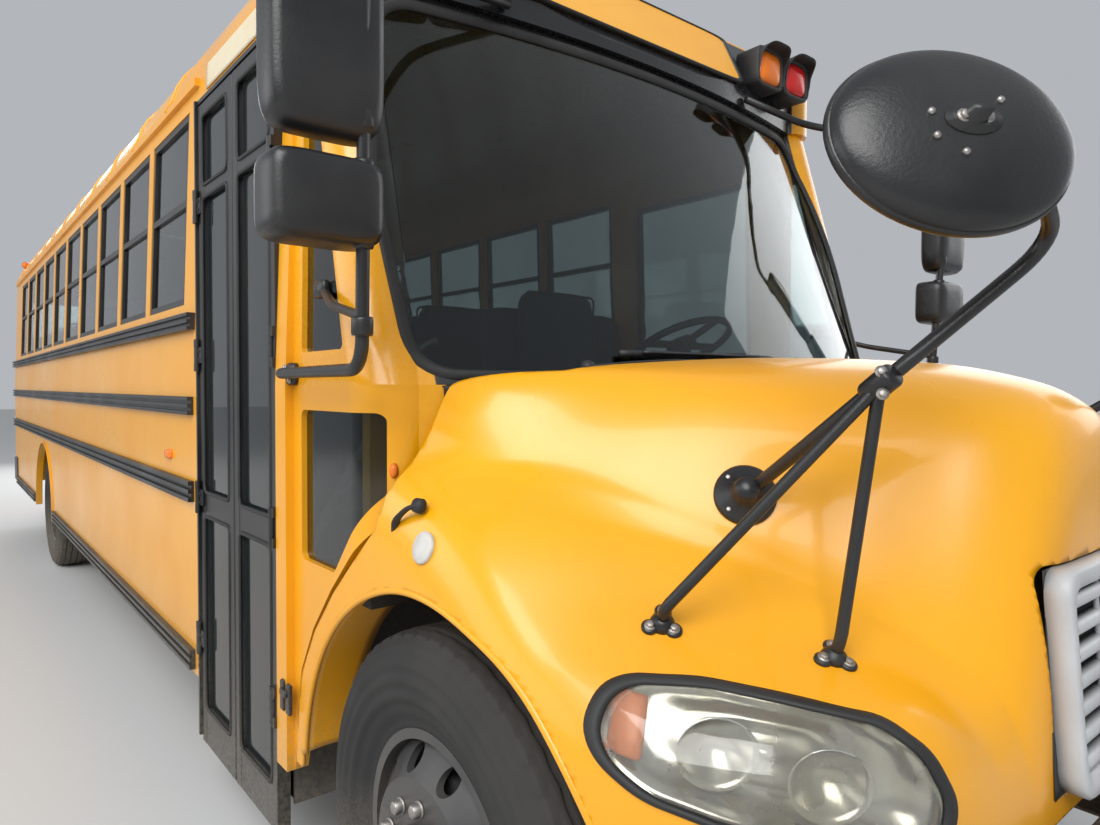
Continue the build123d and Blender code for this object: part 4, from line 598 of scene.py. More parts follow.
def outline_distance(corners, a, b):
    """Signed distance from (a, b) to a closed outline, below zero inside: the least distance to
    its sides, with the sign from counting the sides that pass to the right."""
    corners = np.asarray(corners, float)
    least, inside = np.full(a.shape, 9.0), np.zeros(a.shape, bool)
    for (ax, ay), (bx, by) in zip(corners, np.roll(corners, -1, 0)):
        along = ((a - ax) * (bx - ax) + (b - ay) * (by - ay)) / ((bx - ax)**2 + (by - ay)**2)
        along = np.clip(along, 0, 1)
        least = np.minimum(least, np.hypot(a - ax - along * (bx - ax), b - ay - along * (by - ay)))
        if ay != by:
            inside ^= ((ay > b) != (by > b)) & (a < (bx - ax) * (b - ay) / (by - ay) + ax)
    return np.where(inside, -least, least)


GRILLE_MIDDLE, BOW_RADIUS, BOW_HALF = 1.025, 2.415, 1.07
LAMP_CENTRE = at(0.690, -0.900, 0.970)
LAMP_OUT = np.array((0.7469, -0.6650, 0.0))
LAMP_UP = np.array((0.1333, 0.1497, 0.9797))
LAMP_ALONG = np.cross(LAMP_UP, LAMP_OUT)
LAMP_OUTLINE = rounded_outline(((-0.302, -0.025), (-0.285, 0.030), (-0.240, 0.058), (-0.120, 0.084),
                                (0.020, 0.098), (0.168, 0.108), (0.246, 0.074), (0.304, 0.004),
                                (0.300, -0.060), (0.250, -0.092), (-0.060, -0.092), (-0.200, -0.090),
                                (-0.275, -0.065)), 0.030)
COWL_SEAM = np.array((  # height, place ahead of the axle
    (0.520, -0.687), (0.649, -0.677), (0.791, -0.647), (0.930, -0.560),
    (1.060, -0.442), (1.250, -0.237), (1.500, -0.172)))


def hood_kept(p):
    """Above zero where the hood's skin is kept: ahead of the seams with the doors and the
    windshield, above its lower edge, and outside the wheel arch, the grille and the headlamp."""
    x, y, z = p[..., 0] - FRONT_AXLE, np.abs(p[..., 1]), p[..., 2]
    arch = np.hypot(x, z - AXLE_HEIGHT) - ARCH_RADIUS
    bottom = np.where(x > 0, z - 0.755, z - 0.520)
    seam = x - np.interp(z, COWL_SEAM[:, 0], COWL_SEAM[:, 1]) - 0.022
    bow = 0.172 - (BOW_RADIUS - np.sqrt(BOW_RADIUS**2 - np.minimum(y, BOW_HALF)**2))
    bow = bow - 0.130 * (1 - np.sqrt(1 - np.clip((y - BOW_HALF) / 0.125, 0, 1)**2))
    screen = np.where((z > 1.2) & (y < 1.195), x - bow + 0.10 * np.clip((y - 0.80) / 0.20, 0, 1), 1.0)
    grille = np.where(x > 0.6, round_corner(y - grille_half(z) + 0.04,
                                            np.abs(z - GRILLE_MIDDLE) - 0.225 + 0.04, 0.04), 1.0)
    local = track(p[..., 0], -y, z) - LAMP_CENTRE
    depth = local @ LAMP_OUT
    lamp = np.where((depth > -0.12) & (depth < 0.25), outline_distance(
        LAMP_OUTLINE, local @ LAMP_ALONG, local @ LAMP_UP), 1.0)
    return np.minimum.reduce([arch, bottom, seam, screen, grille, lamp])


def trimmed(grid, keep):
    """A grid of points cut along keep = 0: a point just past the cut slides to it along the grid
    line or diagonal that crosses nearest, and faces beyond it go."""
    value = keep(grid)
    best, moved = np.full(value.shape, 2.0), grid.copy()
    for step in ((0, 1), (0, -1), (1, 0), (-1, 0), (1, 1), (1, -1), (-1, 1), (-1, -1)):
        other = np.roll(grid, step, (0, 1))
        there = np.roll(value, step, (0, 1))
        share = np.where((value <= 0) & (there > 0), -value / np.maximum(there - value, 1e-9), 2.0)
        near = (share < best) & (np.linalg.norm(other - grid, axis=-1) < 0.06)
        moved = np.where(near[..., None], grid + (other - grid) * share[..., None], moved)
        best = np.where(near, share, best)
    stays = (value > 0) | (best < 1.5)
    faces = grid_faces(*value.shape)
    kept = stays.ravel()[faces].all(1) & (value.ravel()[faces] > 0).any(1)
    return moved.reshape(-1, 3), faces[kept]


def hood_rays(behind, ahead_rows, columns):
    """Rays from a line inside the hood: square to it along its length, then fanned forward."""
    lean_angle = np.concatenate([np.zeros(behind), np.linspace(0, 1.50, ahead_rows)])
    along = np.concatenate([np.linspace(-0.70, 0.19, behind), np.full(ahead_rows, 0.20)])
    lean_angle, turn = np.meshgrid(lean_angle, np.linspace(-1.56, 1.56, columns), indexing="ij")
    return (track(FRONT_AXLE + along[:, None], 0 * turn, 0.5),
            track(np.sin(lean_angle), np.cos(lean_angle) * np.sin(turn),
                  np.cos(lean_angle) * np.cos(turn)))


hood_grid = reach(hood_field, *hood_rays(64, 96, 300), 2.4)
hood_skin = piece("hood_skin", [trimmed(hood_grid, hood_kept)], "body_yellow", "hood", wall=0.010,
                  closed=False)
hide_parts("hood")


# Wheel arches: the fender's edge is rolled into a half-round bead round the wheel, and turns in
# towards the wheel as a painted flange.
arch_turn = np.radians(np.linspace(24, 176, 90))
arch_line = track(FRONT_AXLE + (ARCH_RADIUS - 0.004) * np.cos(arch_turn), 0.0,
                  AXLE_HEIGHT + (ARCH_RADIUS - 0.004) * np.sin(arch_turn))
arch_line = reach(hood_field, arch_line + (0, -0.6, 0), np.array((0, -1.0, 0)), 1.2) + (0, 0.006, 0)
piece("arch_lips", [tube(arch_line, 0.009, 10, lift=(0, 1, 0))], "body_yellow", "hood", mirror=True)
flange = arch_line[:, None] + np.linspace(0, 0.15, 6)[None, :, None] * np.array((0, 1.0, 0))
flange = flange + np.array((0, 0, 0.004)) * np.sin(np.linspace(0, 3, 6))[None, :, None]
piece("arch_flanges", [(flange.reshape(-1, 3), grid_faces(90, 6))], "body_yellow", "hood", wall=0.003,
      closed=False, mirror=True)


# Headlamps: a clear moulded lens in a black rubber frame, over a silvered tub with two bowls and
# an amber turn signal at its outer end.
def lamp_point(a, b):
    """The hood's surface where a ray square to the lamp's plane, at (a, b) in it, comes out."""
    base = LAMP_CENTRE + a[..., None] * LAMP_ALONG + b[..., None] * LAMP_UP - 0.20 * LAMP_OUT
    return reach(hood_field, base, LAMP_OUT, 0.6)


def lamp_patch(shares, sink):
    """Rings of the lamp's outline, drawn to its middle by each share, sunk behind the surface."""
    shares, sink = np.asarray(shares, float), np.asarray(sink, float)
    ring = LAMP_OUTLINE[None] * shares[:, None, None]
    points = lamp_point(ring[..., 0], ring[..., 1]) - sink[:, None, None] * LAMP_OUT
    return points.reshape(-1, 3), grid_faces(len(shares), len(LAMP_OUTLINE), True)


def lamp_piece(name, shapes, look, wall):
    """An open skin of the headlamps, on both sides of the hood."""
    return piece(name, shapes, look, "hood", wall=wall, closed=False, mirror=True)


share = np.linspace(0.985, 0.0, 14)
lamp_piece("lamp_lenses", [lamp_patch(share, 0.002 - 0.010 * (1 - share**2))], "headlamp_lens", 0.003)
share = np.linspace(0.985, 0.0, 24)
ripples = np.abs(np.sin(share * 7.0)) * 0.012
lamp_piece("lamp_tubs", [lamp_patch(share, 0.012 + 0.075 * (1 - share**4) + ripples)], "lamp_silver",
           0.002)
lip = np.array(((0.955, 0.004), (0.965, -0.004), (1.0, -0.007), (1.035, -0.004), (1.045, 0.006)))
lamp_frames = lamp_piece("lamp_frames", [lamp_patch(lip[:, 0], lip[:, 1])], "rubber_gasket", 0.003)
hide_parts("headlamps")
signal_turn, signal_up = np.meshgrid(np.linspace(-1.2, 1.2, 9), np.linspace(-0.055, 0.035, 20))
signal = lamp_point(0.030 * np.sin(signal_turn) - 0.235, signal_up)
signal = signal - (0.045 - 0.018 * np.cos(signal_turn))[..., None] * LAMP_OUT
lamp_piece("lamp_signals", [(signal.reshape(-1, 3), grid_faces(20, 9))], "amber_lens", 0.003)
share = np.linspace(0, 1, 9)
bowl = track(share * 0.068, -0.055 * (1 - share**2))
lamp_piece("lamp_reflectors", [turned(bowl, lamp_point(np.array(a), np.array(0.0)) - 0.022 * LAMP_OUT,
                                      LAMP_OUT, 28, tall=0.9) for a in (-0.09, 0.09)], "lamp_silver",
           0.002)


# Grille: a moulded grey surround with a rolled lip and seven louvres, set in the nose of the hood
# with a dark gap round it and a dark screen behind.
GRILLE_OUTLINE = rounded_outline(((-0.330, 0.800), (-0.354, 1.250), (0.354, 1.250), (0.330, 0.800)),
                                 0.060, 9)


def grille_ring(insets, steps):
    """The grille's outline drawn in by each inset and set forward by each step."""
    centre = np.array((0.0, GRILLE_MIDDLE))
    rings = []
    for inset, step in zip(insets, steps):
        shrink = 1 - inset / np.array((0.342, 0.225))
        ring = centre + (GRILLE_OUTLINE - centre) * shrink
        rings.append(track(nose_x(ring[:, 1]) + step, ring[:, 0], ring[:, 1]))
    return np.concatenate(rings), grid_faces(len(rings), len(GRILLE_OUTLINE), True)


piece("grille_surround", [grille_ring((0.004, 0.004, 0.010, 0.030, 0.042, 0.046, 0.046),
                                      (-0.035, 0.006, 0.012, 0.011, 0.004, -0.004, -0.035))],
      "grille_grey", "hood", wall=0.002, closed=False)
screen_y, screen_z = np.meshgrid(np.linspace(-0.345, 0.345, 30), np.linspace(0.805, 1.245, 20))
screen_x = nose_x(screen_z) - 0.034 + 0.002 * np.sin(screen_y * 300) * np.sin(screen_z * 300)
screen, screen_faces = sheet(screen_x, screen_y, screen_z)
piece("grille_screen", [(screen, screen_faces[:, ::-1])], "black_plastic", "hood", wall=0.002,
      closed=False)
section = np.array(((-0.030, 0.004), (0.000, 0.014), (0.007, 0.004), (0.006, -0.008), (-0.002, -0.015),
                    (-0.030, -0.010)))
louvres = []
for number in range(7):
    level = 0.868 + 0.0525 * number
    half = grille_half(level) - 0.044
    louvres.append(sheet(nose_x(level) + section[:, 0], np.linspace(-half, half, 24)[:, None],
                         level + section[:, 1], True))
level = np.linspace(0.85, 1.20, 12)
louvres += [tube(track(nose_x(level) - 0.014, middle, level), 0.006, 8, lift=(0, 1, 0))
            for middle in (-0.12, 0.12)]
grille_piece = piece("grille_louvres", louvres, "grille_grey", "hood")
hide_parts("grille")


# Cross-view mirrors: an oval black dish on a bent tube, carried by a three-legged steel frame
# that is bolted to the hood through a round base plate and two small feet.
def hood_point(x, y, guess):
    """The hood's surface above or below (x, y), and the way it faces there."""
    foot = reach(hood_field, at(x, y, guess - 0.25), np.array((0, 0, 1.0)), 0.5)
    step = np.eye(3) * 1e-3
    facing = hood_field(foot + step) - hood_field(foot - step)
    return foot, unit(facing)


plate, plate_out = hood_point(0.474, -0.667, 1.358)
feet = [hood_point(0.484, -0.933, 1.146), hood_point(0.720, -0.729, 1.101)]
CLAMP, HEAD, HEAD_AXIS = at(0.800, -0.733, 1.601), at(0.938, -0.800, 1.969), unit((0.80, -0.52, 0.30))
HEAD_TALL = 0.80
arms = [tube(bent_path([plate, CLAMP, at(1.000, -0.544, 1.844), at(1.030, -0.696, 1.903),
                        HEAD + HEAD_AXIS * 0.055], 0.085, 12), 0.0135, 16),
        turned(((0.0, -0.032), (0.021, -0.032), (0.023, -0.026), (0.023, 0.026), (0.021, 0.032),
                (0, 0.032)), CLAMP, CLAMP - plate, 20),
        turned(((0, -0.006), (0.066, -0.006), (0.066, 0.006), (0.060, 0.012), (0.034, 0.016),
                (0.028, 0.040), (0.020, 0.060), (0, 0.060)), plate, plate_out, 36)]
bolts = [bolt(CLAMP + shift, (0.6, -0.7, 0.3)) for shift in
         ((0.012, -0.020, 0.022), (0.016, -0.022, -0.016))]
bolts += [bolt(place + plate_out * 0.010, plate_out, 0.006)
          for place in around(plate, plate_out, 0.050, (45, 135, 225, 315), (0, 0, 1))]
for foot, out_way in feet:
    arms.append(tube(bent_path([CLAMP, foot + out_way * 0.045, foot + out_way * 0.008], 0.02), 0.0115, 12))
    arms.append(turned(((0, -0.004), (0.026, -0.002), (0.022, 0.010), (0.012, 0.020), (0, 0.022)), foot,
                       out_way, 20))
    for place in around(foot, out_way, 0.026, (90, 210, 330), (0.3, 0.9, 0.1)):
        arms.append(turned(((0, -0.004), (0.0165, -0.004), (0.0165, 0.005), (0.014, 0.008), (0, 0.008)),
                           place, out_way, 20))
        bolts.append(bolt(place + out_way * 0.007, out_way, 0.0085))
piece("crossview_arms", arms, "mirror_black", "hood", mirror=True)
angle = np.linspace(0, math.pi / 2, 16)
back = track(0.194 * np.cos(angle), 0.006 + 0.050 * np.sin(angle))
angle = np.linspace(0, 2 * np.pi, 13)
rim = track(0.193 + 0.0065 * np.cos(angle), -0.002 + 0.009 * np.sin(angle))
heads = [turned(profile, HEAD, HEAD_AXIS, 72, 1.0, HEAD_TALL)
         for profile in (np.concatenate([[(0.196, -0.004)], back]), rim)]
heads.append(turned(((0, 0), (0.045, 0), (0.045, 0.006), (0.020, 0.010), (0.016, 0.030), (0, 0.030)),
                    HEAD + HEAD_AXIS * 0.052, HEAD_AXIS, 20, 1.0, 0.6))
mirror_heads = piece("crossview_heads", heads, "mirror_black", "hood", mirror=True)
share = np.linspace(0, 1, 10)
face = track(0.190 * (1 - share), -0.006 - 0.015 * (1 - (1 - share)**2))
piece("crossview_faces", [turned(face, HEAD, HEAD_AXIS, 72, 1.0, HEAD_TALL)], "mirror_face", "hood",
      closed=False, mirror=True)
head_across = unit(np.cross((0, 0, 1), HEAD_AXIS))
head_over = np.cross(HEAD_AXIS, head_across)
for a, b in ((-0.060, -0.030), (-0.062, 0.010), (-0.02, -0.055), (0.05, 0.035)):
    bolts.append(turned(((0, -0.004), (0.006, -0.004), (0.005, 0.003), (0, 0.004)),
                        HEAD + a * head_across + b * head_over + 0.0545 * HEAD_AXIS, HEAD_AXIS, 12))
bolts += [bolt(HEAD + a * head_across + HEAD_AXIS * 0.060, HEAD_AXIS) for a in (-0.018, 0.018)]
piece("crossview_bolts", bolts, "bolt_steel", "hood", mirror=True)
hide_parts("crossview_mirrors")


# Small fittings on the hood: a rubber strap latch and a round reflector on each fender.
foot = reach(hood_field, at(-0.001, -0.9, 1.241), np.array((0, -1.0, 0)), 0.6)
piece("hood_reflectors", [turned(((0, -0.006), (0.036, -0.006), (0.036, 0.006), (0.032, 0.009),
                                  (0.016, 0.011), (0, 0.0115)), foot, (0.05, -0.96, 0.28), 28)],
      "reflector_lens", "hood", mirror=True)
foot = reach(hood_field, at(-0.090, -0.9, 1.300), np.array((0, -1.0, 0)), 0.6)
strap = bent_path([foot + (-0.055, -0.004, -0.050), foot + (-0.020, -0.022, -0.010),
                   foot + (0.025, -0.016, 0.022), foot + (0.050, -0.002, 0.030)], 0.02)
piece("hood_latches", [tube(strap, 0.010, 12, 0.55),
                       turned(((0, -0.01), (0.024, -0.008), (0.022, 0.010), (0, 0.012)),
                              foot + (-0.05, 0, -0.045), (0.1, -0.95, 0.2), 20),
                       turned(((0, -0.01), (0.018, -0.008), (0.016, 0.010), (0, 0.012)),
                              foot + (0.048, 0, 0.028), (0.1, -0.9, 0.3), 20)],
      "rubber_gasket", "hood", mirror=True)


# Windshield: one curved sheet of tinted glass, held by a black rubber gasket that is pressed over
# the flange all round it.
def windshield_x(y, z):
    """Where the front of the body stands at (y, z): in plan an arc between two corners, then a
    tighter arc to the side; the plan shrinks evenly from the waist at 1.6 m to the eave."""
    share = (z - 1.600) / 1.150
    nose, corner_x, corner_y = 0.050 - 0.530 * share, -0.200 - 0.385 * share, 1.070 - 0.050 * share
    side_x, side_y = -0.330 - 0.310 * share, 1.195 - 0.016 * share
    bow = nose - corner_x
    radius = (corner_y**2 + bow**2) / (2 * bow)
    front = nose - radius + np.sqrt(np.maximum(radius**2 - y**2, 0))
    across, deep = side_y - corner_y, corner_x - side_x
    turn = (across**2 + deep**2) / (2 * across)
    flank = side_x + np.sqrt(np.maximum(turn**2 - (np.abs(y) - side_y + turn)**2, 0))
    return FRONT_AXLE + np.where(np.abs(y) < corner_y, front, flank)


outline = rounded_outline(((-1.075, 1.622), (-1.112, 2.150), (-1.000, 2.708), (1.000, 2.708),
                           (1.112, 2.150), (1.075, 1.622)), 0.12, 12)
line = []
for start, end in zip(outline, np.roll(outline, -1, 0)):
    steps = max(2, int(np.linalg.norm(end - start) / 0.04))
    line.append(np.linspace(start, end, steps, endpoint=False))
y, z = np.concatenate(line).T
piece("windshield_gasket", [tube(track(windshield_x(y, z) - 0.002, y, z), 0.017, 10, 0.45, (1, 0, 0),
                                 loop=True)], "rubber_gasket", "body")


# Wipers: two steel arms with sprung frames and rubber blades, parked along the foot of the
# windshield, over a black moulded vent strip.
wiper_parts = []
for foot_y, tip_y in ((-0.66, -0.02), (0.10, 0.72)):
    y = np.linspace(foot_y, tip_y, 14)
    z = 1.650 + 0.020 * np.sin(np.linspace(0, math.pi, 14)) + 0.006 * np.linspace(0, 1, 14)
    arm_line = track(windshield_x(y, z) + 0.030, y, z)
    wiper_parts.append(tube(arm_line, 0.008, 10, 0.6))
    y, z = np.linspace(foot_y + 0.12, tip_y + 0.10, 20), np.full(20, 1.690)
    wiper_parts.append(tube(track(windshield_x(y, z) + 0.012, y, z), 0.007, 8, 1.4))
    spring = 0.020 + 0.008 * np.sin(np.linspace(0, 9.4, 20))**2
    wiper_parts.append(tube(track(windshield_x(y, z) + spring, y, z + 0.004)[2:18], 0.005, 8))
    wiper_parts.append(turned(((0, -0.03), (0.018, -0.03), (0.020, 0.006), (0.014, 0.014), (0, 0.016)),
                              arm_line[0], (0.4, 0, 0.9), 20))
wipers = piece("wipers_formed", wiper_parts, "black_plastic", "body")
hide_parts("wipers")


# Entrance door: two leaves of black extruded aluminium that open outwards, each with three panes
# in rubber, and a soft rubber edge where they meet.
DOOR_Y, DOOR_FOOT, DOOR_HEAD = -1.191, 0.240, 2.640
DOOR_OPENINGS = ((0.380, 1.110), (1.200, 2.290), (2.335, 2.590))
DOOR_RAILS = ((DOOR_FOOT, 0.380), (1.110, 1.200), (2.290, 2.335), (2.590, DOOR_HEAD))
for leaf, hinge_x, free_x in (("door_leaf_front", FRONT_AXLE - 0.800, FRONT_AXLE - 1.200),
                              ("door_leaf_rear", FRONT_AXLE - 1.610, FRONT_AXLE - 1.210)):
    low_x, high_x = min(hinge_x, free_x), max(hinge_x, free_x)
    toward = -1 if hinge_x > free_x else 1
    pin_x = hinge_x + toward * 0.006
    bars = [bar((x, DOOR_Y, DOOR_FOOT), (x, DOOR_Y, DOOR_HEAD), 0.050, 0.038, (1, 0, 0), 0.005)
            for x in (low_x + 0.025, high_x - 0.025)]
    bars += [bar((low_x + 0.045, DOOR_Y, (low + high) / 2), (high_x - 0.045, DOOR_Y, (low + high) / 2),
                 high - low, 0.034, (0, 0, 1)) for low, high in DOOR_RAILS]
    for level in (2.265, 1.711, 1.177, 0.640):
        bars.append(turned(((0, -0.030), (0.010, -0.030), (0.010, 0.030), (0, 0.030)),
                           (pin_x, -1.222, level), (0, 0, 1), 16, up=(1, 0, 0)))
        bars.append(bar((pin_x, -1.214, level), (pin_x + toward * 0.044, -1.214, level), 0.060, 0.010,
                        (0, 0, 1), 0.003))
        bars += [bolt((pin_x + toward * 0.030, -1.218, level + shift), (0, -1, 0), 0.006)
                 for shift in (-0.016, 0.016)]
    leaf_frame = piece(leaf + "_frame", bars, "black_trim", leaf, smooth=False)
    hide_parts(leaf)
    openings = [(low_x + 0.050, high_x - 0.050, low, high) for low, high in DOOR_OPENINGS]
    piece(leaf + "_glass", [pane(a - 0.008, b + 0.008, -1.193, low - 0.008, high + 0.008)
                            for a, b, low, high in openings], "door_glass", leaf, smooth=False)
    edge_x = free_x - toward * 0.001
    seals = [seal(a, b, y, low, high) for a, b, low, high in openings for y in (-1.209, -1.173)]
    seals.append(bar((edge_x, DOOR_Y, DOOR_FOOT + 0.005), (edge_x, DOOR_Y, DOOR_HEAD - 0.005), 0.006,
                     0.030, (1, 0, 0), 0.003))
    piece(leaf + "_seals", seals, "rubber_gasket", leaf)
rail = bent_path([at(-0.840, -1.150, 1.02), at(-0.840, -1.085, 1.10), at(-0.850, -0.720, 1.72),
                  at(-0.850, -0.640, 1.76)], 0.05)
piece("grab_rail", [tube(rail, 0.016)], "bolt_steel", "body")


# Side mirrors: a tall flat mirror over a low convex one in black moulded shells, on a bent tube
# with clamps, stayed to the windshield post.
MIRROR_HALF_WIDTH = 0.1215
shells = [tube(bent_path([at(-0.690, -1.196, 1.630), at(-0.640, -1.262, 1.630), at(-0.032, -1.300, 1.630),
                          at(0.020, -1.315, 2.600), at(-0.400, -0.900, 2.720),
                          at(-0.480, -0.600, 2.778)], 0.07, 10), 0.0145, 16),
          tube(bent_path([at(-0.026, -1.300, 1.740), at(-0.300, -1.250, 1.790),
                          at(-0.505, -1.186, 1.855)], 0.05), 0.0115, 12),
          turned(((0, -0.012), (0.032, -0.012), (0.032, 0.004), (0.026, 0.010), (0, 0.012)),
                 at(-0.690, -1.205, 1.630), (0, -1, 0), 24, power=4.0),
          turned(((0, -0.010), (0.030, -0.010), (0.030, 0.004), (0.022, 0.010), (0, 0.012)),
                 at(-0.500, -1.196, 1.853), (0, -1, 0), 24, 1.2, 0.8, power=4.0)]
for level in (1.90, 2.04, 2.14, 2.45, 1.72):
    rise = level - 1.63
    shells.append(turned(((0, -0.020), (0.021, -0.020), (0.023, -0.014), (0.023, 0.014), (0.021, 0.020),
                          (0, 0.020)), at(rise * 0.0536 - 0.032, -1.300 - rise * 0.0155, level),
                         (0.05, -0.015, 1), 18, up=(1, 0, 0)))
faces = []
for low, high, depth, bulge in ((1.880, 2.060, 0.110, 0.010), (2.095, 2.500, 0.090, 0.002)):
    place = (at(0.020 - depth, -1.3835, (low + high) / 2), (1, 0, 0), 64, MIRROR_HALF_WIDTH,
             (high - low) / 2)
    shells.append(turned(((0.90, 0.006), (0.945, 0.0), (0.985, 0.004), (1.0, 0.014), (1.0, depth * 0.45),
                          (0.985, depth * 0.72), (0.93, depth * 0.90), (0.80, depth * 0.975),
                          (0.45, depth), (0, depth)), *place, power=6.0))
    faces.append(turned(((0.92, 0.005), (0.7, 0.004 - bulge * 0.4), (0.4, 0.003 - bulge * 0.8),
                         (0, 0.003 - bulge)), *place, power=6.0))
mirror_shells = piece("side_mirror_shells", shells, "mirror_black", "body", mirror=True)
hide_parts("side_mirrors")
piece("side_mirror_faces", faces, "mirror_face", "body", closed=False, mirror=True)
piece("side_mirror_bolts", [bolt(at(dx - 0.690, -1.216, 1.630 + dz), (0, -1, 0), 0.007)
                            for dx, dz in ((-0.018, 0.018), (0.018, -0.018))],
      "bolt_steel", "body", mirror=True)


# Warning lamps and signs: pairs of red and amber lamps in black housings with deep visors beside
# the blank sign boards over the windshield and the rear window.
housings, reds, ambers = [], [], []
turn = np.radians(np.linspace(-35, 215, 40))
square_cos, square_sin = [np.sign(wave) * np.abs(wave)**0.5 for wave in (np.cos(turn), np.sin(turn))]
out = np.linspace(-0.02, 1, 6)[:, None]
reach_out = np.maximum(0.018 + 0.050 * np.clip(np.sin(turn), -0.3, 1), 0.012)
for front_x, level, way in ((FRONT_AXLE - 0.446, 2.920, 1), (REAR_WALL - 0.020, 2.790, -1)):
    for middle, lenses in ((-0.895, reds), (-0.710, ambers)):
        place = (front_x, middle, level)
        housings.append(turned(((0, -0.10), (1.0, -0.10), (1.0, 0.0), (0.97, 0.006), (0.90, 0.006),
                                (0.88, -0.004), (0, -0.004)), place, (way, 0, 0), 56, 0.088, 0.080,
                               power=5.0))
        lenses.append(turned(((0.98, -0.004), (0.92, 0.006), (0.7, 0.013), (0.35, 0.017), (0, 0.018)),
                             place, (way, 0, 0), 48, 0.074, 0.066, power=4.0))
        housings.append(sheet(front_x + way * out * reach_out, middle + 0.084 * square_cos,
                              level + (0.074 + 0.004 * out) * square_sin))
lamp_housings = piece("warning_housings", housings, "black_plastic", "body", wall=0.003, closed=False,
                      mirror=True)
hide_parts("lamps")
piece("warning_reds", reds, "red_lens", "body", mirror=True)
piece("warning_ambers", ambers, "amber_lens", "body", mirror=True)
markers = [turned(((0, -0.03), (1.0, -0.03), (1.0, 0.0), (0.92, 0.014), (0.6, 0.024), (0, 0.028)),
                  at(-0.705, y, 3.115), (0.55, 0, 0.83), 36, 0.040, 0.052, power=3.0)
           for y in (-0.15, 0.0, 0.15)]
tails = []
for side in (-1, 1):
    for x in (FRONT_AXLE - 1.18, -4.79):
        markers.append(turned(((0, -0.04), (1.0, -0.04), (1.0, 0.0), (0.9, 0.016), (0.5, 0.026),
                               (0, 0.030)), (x, side * 1.135, 2.965), (0, side * 0.75, 0.66), 32, 0.052,
                              0.036, power=3.0))
    markers.append(turned(((0, -0.006), (1.0, -0.006), (1.0, 0.006), (0.85, 0.014), (0, 0.017)),
                          at(-2.045, side * HALF_WIDTH, 1.310), (0, side, 0), 32, 0.044, 0.019,
                          power=5.0))
    tails += [turned(((0, -0.01), (1.0, -0.01), (1.0, 0.012), (0.95, 0.020), (0.5, 0.024), (0, 0.025)),
                     (REAR_WALL, side * y, 1.370), (-1, 0, 0), 40, half, 0.078, power=5.0)
              for y, half in ((0.780, 0.079), (0.990, 0.088))]
piece("marker_lamps", markers, "amber_lens", "body")
piece("tail_lamps", tails, "red_lens", "body")
boards, frames = [], []
for x, level, *values in ((FRONT_AXLE - 0.527, 2.935, (0.894, 0, 0.448), 72, 0.560, 0.118),
                          (REAR_WALL - 0.006, 2.855, (-1, 0, 0), 72, 0.560, 0.105)):
    boards.append(turned(((0, -0.008), (1.0, -0.008), (1.0, 0.004), (0.995, 0.007), (0.985, 0.007),
                          (0, 0.007)), (x, 0, level), *values, power=14.0))
    frames.append(turned(((0.985, -0.006), (0.985, 0.011), (1.0, 0.013), (1.030, 0.011),
                          (1.030, -0.006), (0.985, -0.006)), (x, 0, level), *values, power=14.0))
signs = piece("sign_boards", boards, "sign_orange", "body")
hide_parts("signs")
piece("sign_frames", frames, "black_trim", "body")


# Cowl vent: a black moulded strip with slots, between the windshield's foot and the hood, that
# narrows to nothing under the windshield's corners.
vent_y = np.linspace(-1.02, 1.02, 260)
vent_wide = 0.004 + 0.110 * np.clip((1.02 - np.abs(vent_y)) / 0.17, 0, 1)**0.8
share = np.linspace(0, 1, 26)[:, None]
slots = (np.clip(np.sin(vent_y * 110) * 3 - 1, 0, 1)
         * np.clip(np.sin(share * 3 * np.pi)**2 * 3 - 0.8, 0, 1) * (np.abs(vent_y) < 0.85))
vent_x = windshield_x(vent_y, np.full(260, 1.606)) + 0.006 + vent_wide * share
vent_x = np.concatenate([vent_x, vent_x[-1:] + 0.004, vent_x[-1:] + 0.005])
vent_z = np.concatenate([1.598 - 0.007 * slots, np.full((1, 260), 1.592), np.full((1, 260), 1.548)])
vent = piece("cowl_vent_formed", [sheet(vent_x, vent_y, vent_z)], "black_plastic", "body", wall=0.004,
             closed=False)
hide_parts("cowl_vent")


